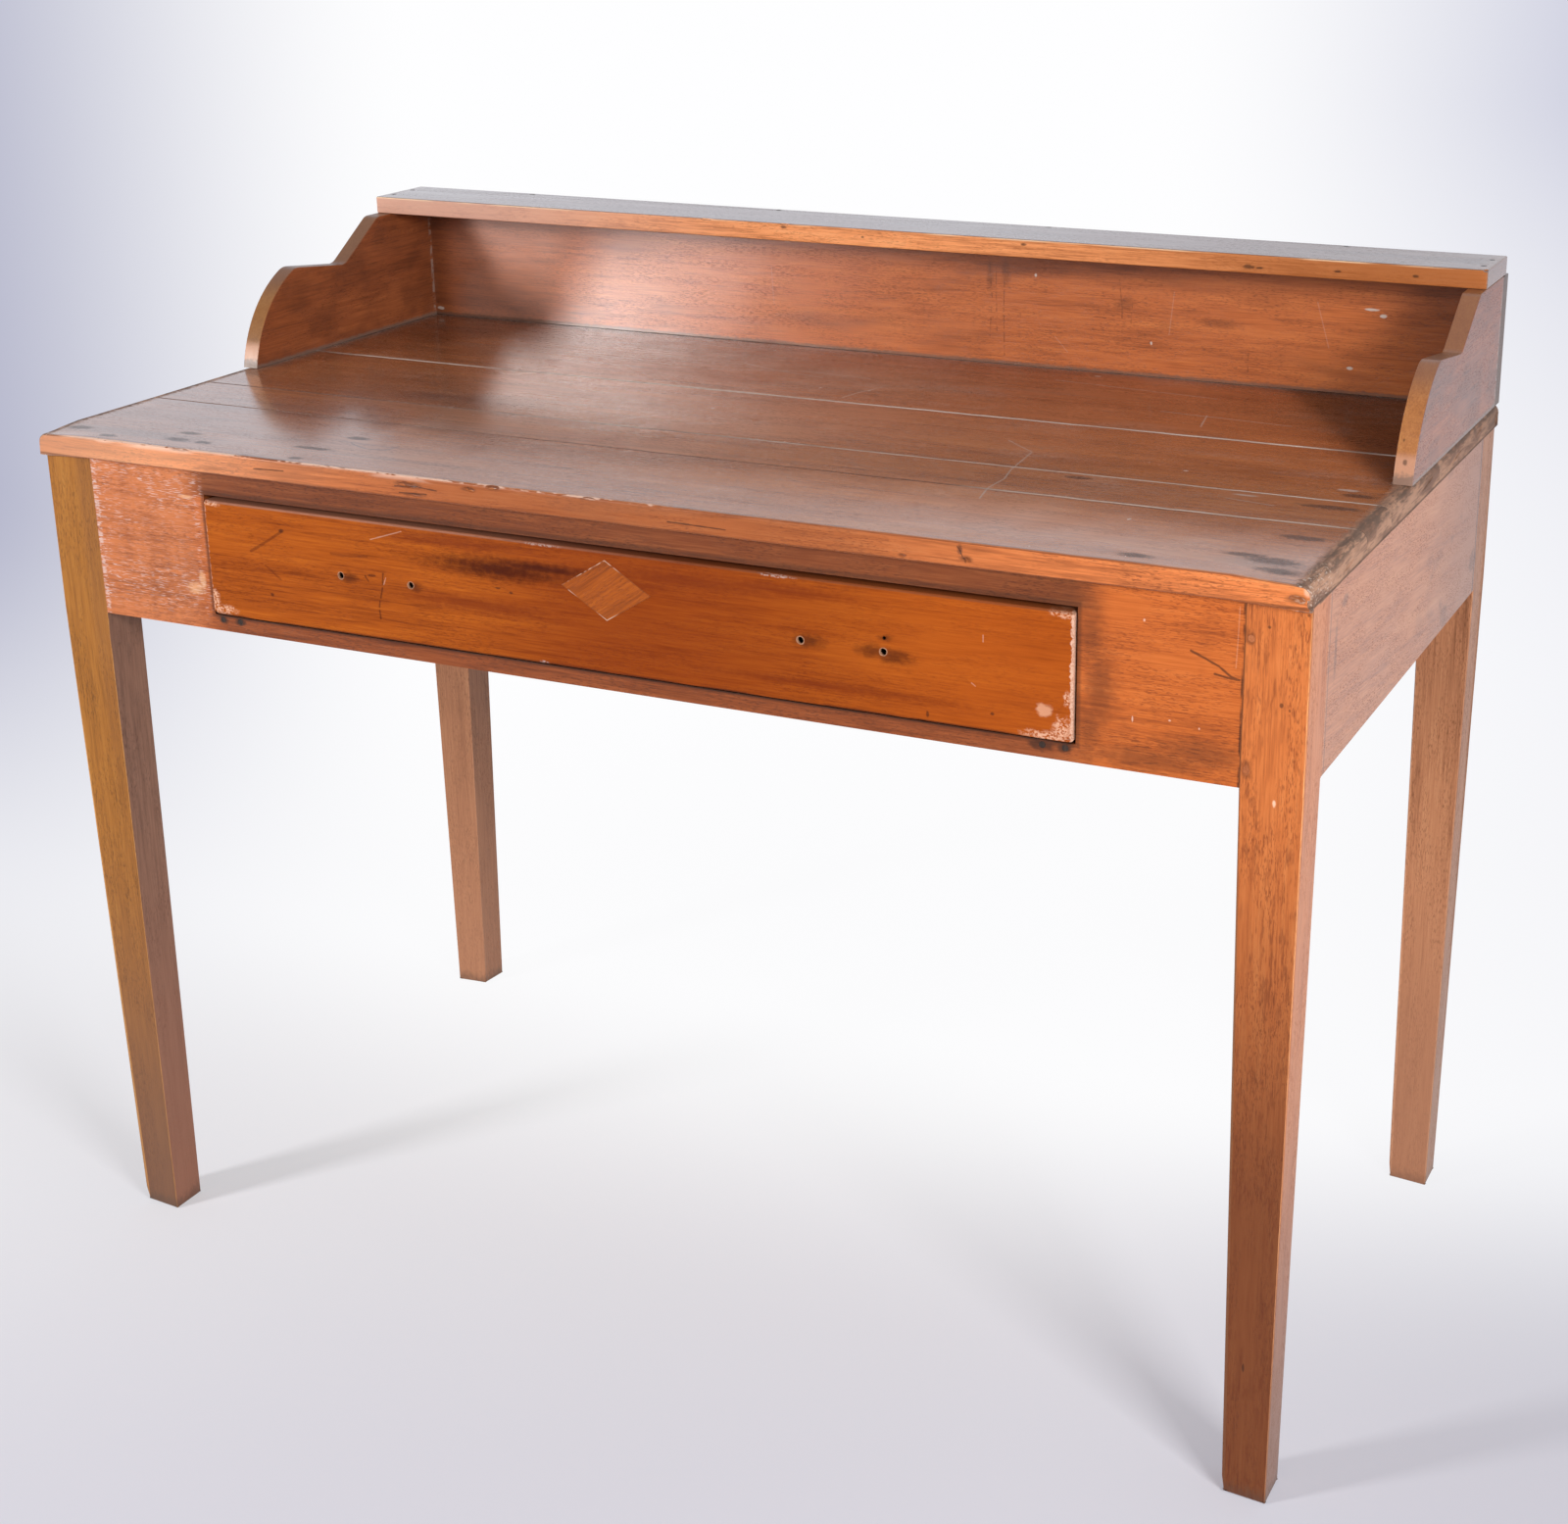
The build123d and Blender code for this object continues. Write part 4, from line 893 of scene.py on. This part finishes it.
right_leg = leg_wood("leg_front_right_oil", 67.0, RIGHT_LEG_GRAIN, (88, 47, 26), 0.82, 0.66, 0.24)
flecks = right_leg.noise(420, 7, 2).between(0.5, 0.66) * right_leg.noise(38, 3, 2).between(0.38, 0.6)
right_leg.stain(flecks * 0.45, (96, 42, 20))
right_leg.marks((84, 42, 24), 0.6, (
    (0.519, 0.713, 0.0036, 0.0054), (0.5195, 0.615, 0.0036, 0.0064)), 0.5, 1.8)
right_leg.marks((196, 118, 74), 0.5, (
    (0.5198, 0.713, 0.0018, 0.0022), (0.5198, 0.615, 0.0018, 0.0034)), 0.5, 1.0)
right_leg.marks(CRACK, 0.6, (
    (0.532, 0.723, 0.0012, 0.0012), (0.543, 0.667, 0.0014, 0.0018), (0.5595, 0.735, 0.001, 0.0012),
    (0.549, 0.664, 0.0008, 0.0012), (0.535, 0.12, 0.001, 0.004)), 0.3, 0.8)
right_leg.marks((246, 206, 176), 0.7, ((0.541, 0.593, 0.0012, 0.0024),), 0.4, 1.2)
right_leg.stain(right_leg.near(X, LEG_INSIDE, 0.0016) * right_leg.z.between(0.598, 0.602) * 0.7, CRACK)
# The right face of the front right leg is paler and pinker than its front and greyer low down: a painted
# sheen of the pale room it mirrors.
right_side = leg_wood("leg_front_right_side", 69.0, RIGHT_SIDE_GRAIN, (136, 104, 88), 0.85)
warm_arris = leg_wood("leg_right_arris", 70.0, RIGHT_ARRIS_GRAIN, (140, 90, 62), 0.7, 0.6)
warm_arris.stain(warm_arris.x.between(0.538, 0.532) * 0.8, (96, 54, 32))
post = leg("post_front_right", "leg_front_right", right_leg.close(0.2), warm_arris.close(), (0.521, -0.286))
second_finish(post, right_side.close(0.3), lambda face: face.normal.x > 0.7)

back_legs = leg_wood("leg_back_oil", 71.0, BACK_LEG_GRAIN, (178, 126, 96), 0.6)
back_arris = leg_wood("leg_back_arris", 73.0, BACK_ARRIS_GRAIN, (186, 136, 106), 0.5)
back_legs.stain((1 - back_legs.x.beyond(0)) * back_legs.z.between(0.0, 0.5) * 0.3, (122, 92, 72))
back_legs.stain(back_legs.x.beyond(0) * back_legs.z.between(0.45, 0.1) * 0.4, (150, 100, 74))
back_finish = back_legs.close(0.25)
back_arris_finish = back_arris.close()
leg("post_back_left", "leg_back_left", back_finish, back_arris_finish, (-0.512, 0.25))
leg("post_back_right", "leg_back_right", back_finish, back_arris_finish, (0.522, 0.25))


# The aprons: four boards on edge, tenoned into the legs. The front one is cut through for the
# drawer, and old pale filler shows in the pores of its left end.
APRON_ARRIS = 0.0009

APRON_GRAIN = ((116, 50, 20), (188, 96, 38), (210, 118, 56))
LEFT_END_GRAIN = ((124, 72, 46), (196, 120, 76), (210, 138, 96))
UPPER_RAIL_GRAIN = ((64, 34, 20), (100, 52, 28), (134, 76, 42))
LOWER_RAIL_GRAIN = ((64, 34, 20), (116, 60, 34), (144, 82, 50))
SIDE_APRON_GRAIN = ((140, 78, 50), (194, 122, 78), (212, 146, 102))
BACK_APRON_GRAIN = ((118, 72, 48), (172, 112, 78), (196, 138, 102))
PEG_GRAIN = ((112, 60, 34), (168, 96, 56), (196, 124, 80))
FILLER = (216, 198, 192)

apron = Wood("front_apron_varnish", X, (X, Z), 81.0, APRON_GRAIN, 0.55)
apron.stain(apron.x.between(-0.38, -0.42) * 0.65, apron.grained(*LEFT_END_GRAIN))
over_drawer = apron.z.between(0.716, 0.722) * (1 - abs(apron.x).between(0.385, 0.42))
under_drawer = apron.z.between(0.6165, 0.612) * (1 - abs(apron.x).between(0.37, 0.42))
apron.stain(over_drawer * 0.85, apron.grained(*UPPER_RAIL_GRAIN))
apron.stain(under_drawer * 0.75, apron.grained(*LOWER_RAIL_GRAIN))
# A dark line on the rail in the gap under the drawer: a painted shadow of the proud drawer front.
gap_shadow = apron.near(Z, 0.6148, 0.0014) * (1 - abs(apron.x).between(0.386, 0.392))
apron.stain(gap_shadow * 0.85, CRACK)
# Darker round and inside the drawer opening: painted shade in the gaps round the drawer front.
mouth = abs(apron.x).between(0.3955, 0.3925)
mouth = mouth * apron.z.between(0.6115, 0.6135) * apron.z.between(0.7255, 0.7225)
apron.stain(mouth * 0.55, (58, 32, 20))
apron.marks((92, 46, 24), 0.55, (
    (0.401, 0.7, 0.009, 0.022), (0.408, 0.662, 0.01, 0.026), (0.4, 0.63, 0.008, 0.02),
    (0.484, 0.622, 0.03, 0.01), (0.45, 0.612, 0.04, 0.008)), 0.8, 1.6)
dashes = apron.noise(560, 9, 2).between(0.55, 0.64)
dashes = dashes * apron.z.between(0.665, 0.62) * apron.x.between(0.4, 0.44)
apron.stain(dashes * 0.5, (84, 42, 24))
apron.lines(CRACK, 0.7, 0.0013, (
    ((0.476, 0.6985), (0.488, 0.6935), (0.497, 0.6895), (0.506, 0.683), (0.511, 0.6815)),
    ((0.494, 0.6835), (0.503, 0.682), (0.512, 0.6815))))
leg_gap = apron.near(X, LEG_INSIDE, 0.0018) * apron.noise(50, 1, 2, along=Z).between(0.36, 0.56)
apron.stain(leg_gap * 0.75, CRACK)
apron.lines((216, 176, 148), 0.18, 0.0007, (((0.5105, 0.735), (0.51, 0.712), (0.5092, 0.69)),))
apron.marks((230, 196, 176), 0.6, (
    (0.441, 0.7165, 0.0008, 0.001), (0.434, 0.641, 0.0006, 0.0022), (0.462, 0.644, 0.001, 0.0008),
    (0.484, 0.641, 0.0006, 0.0008), (-0.041, 0.6165, 0.003, 0.0008)), 0.4, 1.2)
apron.marks((222, 168, 124), 0.7, (
    (-0.409, 0.636, 0.008, 0.005), (-0.401, 0.644, 0.003, 0.007),
    (-0.411, 0.716, 0.006, 0.0015)), 0.5, 1.6)
apron.marks((62, 36, 24), 0.8, (
    (-0.383, 0.611, 0.0048, 0.0034), (-0.365, 0.611, 0.0056, 0.0034), (0.364, 0.6115, 0.01, 0.005),
    (0.383, 0.611, 0.006, 0.0038)), 0.4, 1.4)
fill = apron.noise(1300, 12, 1).between(0.56, 0.64)
beside_leg = apron.x.between(-0.5, -0.506).most(apron.near(X, -0.4985, 0.003) * 0.7)
beside_drawer = apron.near(X, -0.4, 0.006) * 0.7
reach = 0.16 + apron.noise(22, 2, 2).between(0.42, 0.6) * 0.38
reach = reach.most(beside_leg * 0.75).most(beside_drawer * 0.7)
apron.stain(fill * apron.x.between(-0.39, -0.398) * reach * apron.z.between(0.602, 0.622), FILLER)
apron.stain(apron.near(X, -0.508, 0.0034) * apron.noise(520, 3, 1).between(0.45, 0.6) * 0.5, FILLER)
ribbon = apron.noise(34, 5, 3, along=Z).between(0.48, 0.66) * apron.noise(300, 5, 2).between(0.4, 0.6)
apron.stain(ribbon * 0.32, (120, 58, 26))
front_apron = plane_off(whole_copy("cut_front_apron", "apron_front"), APRON_ARRIS)
dress(front_apron, apron.close(0.2), "desk_frame")

side_apron = Wood("side_apron_varnish", Y, (Y, Z), 91.0, SIDE_APRON_GRAIN, 0.65, slant=6.0)
side_apron.stain(side_apron.y.between(0.0, 0.24) * 0.6, (150, 106, 88))
cloud = side_apron.noise(26, 1.6, 3).between(0.54, 0.66) * side_apron.y.between(-0.05, 0.2)
side_apron.stain(cloud * 0.5, (98, 60, 46))
side_apron.stain(side_apron.near(Y, BACK_LEG_FRONT, 0.002) * 0.8, CRACK)
side_apron.stain(side_apron.near(Y, FRONT_LEG_BACK, 0.0016) * 0.6, (110, 62, 40))
side_apron.marks((96, 56, 40), 0.5, (
    (-0.205, 0.722, 0.008, 0.004), (-0.225, 0.69, 0.003, 0.02)), 0.5, 1.6)
side_apron.specks((236, 216, 204), 0.7, 50, 0.0009, 0.15)
side_apron_finish = side_apron.close(0.4, 0.2)
right_apron = plane_off(whole_copy("planed_right_apron", "apron_right"), APRON_ARRIS)
dress(right_apron, side_apron_finish, "desk_frame")
dress(packed["apron_left"], side_apron_finish, "desk_frame")

back_apron = Wood("back_apron_oil", X, (X, Z), 93.0, BACK_APRON_GRAIN, 0.6)
back_apron.stain(back_apron.noise(20, 3, 3).between(0.55, 0.7) * 0.4, (110, 74, 56))
dress(packed["apron_back"], back_apron.close(0.3), "desk_frame")

peg_wood = Wood("peg_end_grain", Y, (X, Z), 95.0, PEG_GRAIN, 0.5)
dress(packed["apron_pegs"], peg_wood.close(), "desk_frame")


# The drawer: a glossy front with worn corners and a lozenge let into it, dovetailed to bare sides
# that carry the back and the bottom, and bare strips in the desk that it slides between. Its two
# handles are lost and leave four stained holes.
DRAWER_FACE = -0.293
DRAWER_END = 0.3895
DRAWER_ARRIS = 0.0011
DRAWER_CORNER = 0.0018
HOLE_HEIGHT = 0.6665
HANDLE_HOLES = [(x, HOLE_HEIGHT) for x in (-0.2535, -0.1845, 0.1695, 0.2385)]
HOLE = (0.003, 0.003)
RUBBED_RING = (0.0033, 0.0033)
SPARE_HOLE = (0.2394, 0.6774)
LOZENGE_HEIGHT = 0.68475
LOZENGE_HALF_LENGTH = 0.0403
LOZENGE_HALF_WIDTH = 0.0246

DRAWER_GRAIN = ((96, 36, 8), (160, 77, 18), (186, 98, 26))
INLAY_GRAIN = ((106, 46, 10), (162, 80, 20), (184, 102, 34))
BARE_GRAIN = ((134, 88, 54), (188, 136, 92), (208, 162, 118))
WORN_PALE = (228, 190, 166)

drawer = Wood("drawer_front_varnish", X, (X, Z), 101.0, DRAWER_GRAIN, 0.35)
drawer.stain(drawer.x.between(-0.16, 0.0) * drawer.x.between(0.32, 0.04) * 0.55, (118, 42, 8))
drawer.stain(drawer.x.between(0.15, 0.34) * 0.4, (172, 78, 22))
drawer.marks((58, 14, 4), 0.9, ((-0.098, 0.69, 0.058, 0.0072), (-0.06, 0.6955, 0.054, 0.0042)), 0.9, 1.3)
drawer.marks((110, 40, 12), 0.6, (
    (0.075, 0.701, 0.075, 0.005), (0.02, 0.693, 0.035, 0.004), (0.145, 0.7045, 0.06, 0.004),
    (-0.15, 0.708, 0.06, 0.005), (-0.12, 0.658, 0.06, 0.006), (0.19, 0.633, 0.09, 0.003)), 0.9, 1.4)
drawer.lines((78, 28, 12), 0.5, 0.0018, (((-0.344, 0.677), (-0.332, 0.684), (-0.3105, 0.6975)),))
drawer.lines((84, 32, 14), 0.4, 0.0014, (
    ((-0.262, 0.6845), (-0.245, 0.684), (-0.226, 0.6858)), ((-0.33, 0.666), (-0.315, 0.655))))
drawer.marks(CRACK, 0.6, (
    (-0.3105, 0.698, 0.0026, 0.0016), (-0.088, 0.672, 0.0016, 0.001), (-0.1, 0.6745, 0.0024, 0.0008),
    (0.3265, 0.6305, 0.0016, 0.0012), (0.2745, 0.6225, 0.0011, 0.0024),
    (-0.3257, 0.641, 0.0016, 0.0014)), 0.4, 1.2)
drawer.lines((60, 26, 14), 0.6, 0.0012, (
    ((-0.211, 0.673), (-0.212, 0.664)), ((-0.2125, 0.661), (-0.215, 0.652)),
    ((-0.216, 0.649), (-0.217, 0.644)), ((-0.217, 0.641), (-0.2165, 0.634)),
    ((-0.225, 0.67), (-0.219, 0.6705)), ((-0.226, 0.665), (-0.229, 0.669))))
drawer.lines(WORN_PALE, 0.3, 0.0007, (
    ((-0.2209, 0.701), (-0.19, 0.7112)), ((0.319, 0.69), (0.319, 0.685)),
    ((0.005, 0.706), (0.005, 0.701)), ((-0.2085, 0.67), (-0.211, 0.664)), ((0.31, 0.652), (0.313, 0.65))))
drawer.marks((56, 22, 10), 0.65, (
    (-0.246, 0.6655, 0.0085, 0.0035), (-0.18, 0.6655, 0.0065, 0.0035), (0.177, 0.6665, 0.011, 0.0045),
    (0.229, 0.666, 0.011, 0.0045), (0.247, 0.664, 0.014, 0.005),
    (0.241, 0.6774, 0.005, 0.0022)), 0.8, 1.8)
drawer.marks((186, 142, 112), 0.8, [(*hole, *RUBBED_RING) for hole in HANDLE_HOLES], 0.15, 0.5)
deep = drawer.y.between(DRAWER_FACE + 0.0015, DRAWER_FACE + 0.003)
drawer.marks(CRACK, deep, [(*hole, *HOLE) for hole in HANDLE_HOLES], 0.08, 0.0)
drawer.marks(CRACK, 1.0, ((*SPARE_HOLE, 0.0014, 0.0014),), 0.1, 0.0)
flecked = drawer.noise(700, 1.2, 2).between(0.4, 0.56)
worn = (drawer.ragged * 0.006 + drawer.x).between(0.3868, 0.3878) * (0.6 + flecked * 0.4)
worn = worn.most((drawer.ragged * 0.006 - drawer.x).between(0.3876, 0.3888) * flecked * 0.5)
drawer.stain(worn * 0.8, WORN_PALE)
drawer.marks((214, 156, 122), 0.75, ((0.3675, 0.6395, 0.0054, 0.0046),), 0.4, 1.8)
drawer.marks((222, 172, 142), flecked * 0.85, (
    (0.37, 0.6195, 0.017, 0.0034), (0.381, 0.626, 0.006, 0.0085), (0.385, 0.65, 0.0024, 0.005),
    (0.38, 0.714, 0.0085, 0.0026), (-0.38, 0.6215, 0.011, 0.0042), (-0.386, 0.629, 0.0034, 0.008),
    (-0.383, 0.7138, 0.008, 0.0018)), 0.5, 2.0)
drawer.marks((206, 186, 178), flecked * 0.7, (
    (0.15, 0.715, 0.014, 0.0012), (-0.056, 0.7152, 0.015, 0.001),
    (-0.06, 0.6178, 0.004, 0.001)), 0.4, 1.5)
# Darker along the drawer front's bottom arris: painted shade of the gap under the proud drawer.
drawer_lip_shade = drawer.z.between(0.619, 0.6172) * drawer.noise(60, 3, 2).between(0.3, 0.5)
drawer.stain(drawer_lip_shade * 0.7 * drawer.x.between(0.36, 0.33), (70, 30, 16))
crest = drawer.z.between(0.714, 0.7152)
drawer.stain(crest * 0.6, drawer.x.between(0.1, -0.2).blend((112, 66, 44), (150, 112, 96)))
front = whole_copy("worn_drawer_front", "drawer_front")
soften(front, lambda e: (runs(e, Z) and middle(e).x > DRAWER_END - 0.0005
                         and middle(e).y < DRAWER_FACE + 0.0005), DRAWER_CORNER)
plane_off(front, DRAWER_ARRIS, chips=(
    ((SPARE_HOLE[0], DRAWER_FACE, SPARE_HOLE[1]), (0.0013, 0.006, 0.0013), 0.1),
    ((DRAWER_END, DRAWER_FACE, 0.617), (0.006, 0.003, 0.003), 0.3),
    ((-DRAWER_END, DRAWER_FACE, 0.617), (0.005, 0.0024, 0.003), 0.2),
    ((-DRAWER_END, DRAWER_FACE, 0.716), (0.006, 0.0022, 0.0022), 0.1),
    ((DRAWER_END, DRAWER_FACE, 0.7165), (0.005, 0.0024, 0.0024), 0.2),
    ((0.14, DRAWER_FACE, 0.7165), (0.009, 0.0016, 0.0014), 0.0),
    ((-0.05, DRAWER_FACE, 0.6165), (0.006, 0.0016, 0.0014), 0.1),
    ((0.27, DRAWER_FACE, 0.6165), (0.005, 0.0018, 0.0015), 0.1)))
dress(front, drawer.close(0.06), "drawer")

inlay = Wood("inlay_varnish", X, (X, Z), 107.0, INLAY_GRAIN, 0.5, slant=35)
lozenge = abs(inlay.x) / LOZENGE_HALF_LENGTH + abs(inlay.z - LOZENGE_HEIGHT) / LOZENGE_HALF_WIDTH
edge_line = lozenge.between(0.96, 0.985)
inlay.stain(edge_line * 0.45, (104, 56, 28))
lit_edge = (inlay.z - inlay.x * 0.6).between(0.69, 0.7).most(inlay.z.between(0.668, 0.663))
inlay.stain(edge_line * lit_edge * inlay.noise(160, 1, 2).between(0.35, 0.55) * 0.8, (206, 168, 142))
dress(packed["drawer_inlay"], inlay.close(0.15), "drawer")

bare = Wood("bare_planed_wood", Y, (X, Z), 111.0, BARE_GRAIN, 0.5)
bare.rough = bare.rough + 0.25
bare_finish = bare.close()
for node in ("drawer_side_left", "drawer_side_right", "drawer_back", "drawer_bottom"):
    dress(packed[node], bare_finish, "drawer")
for node in ("drawer_runner_left", "drawer_runner_right", "drawer_kicker_left", "drawer_kicker_right",
             "drawer_guide_left", "drawer_guide_right", "drawer_stops", "top_glue_blocks"):
    dress(packed[node], bare_finish, "desk_frame")


# The nails: cut nails with small dark heads, a little rusted. They hold the shelf and the gallery,
# the drawer's runners in the long aprons and the drawer's bottom.
IRON_GRAIN = ((30, 24, 22), (56, 44, 38), (92, 64, 48))

iron = Wood("rusted_iron", Z, (X, Z), 121.0, IRON_GRAIN, 0.4)
iron_finish = iron.close()
for node in ("shelf_nails", "gallery_back_nails", "gallery_foot_nails", "runner_nails"):
    dress(packed[node], iron_finish, "desk_frame")
dress(packed["drawer_bottom_nails"], iron_finish, "drawer")
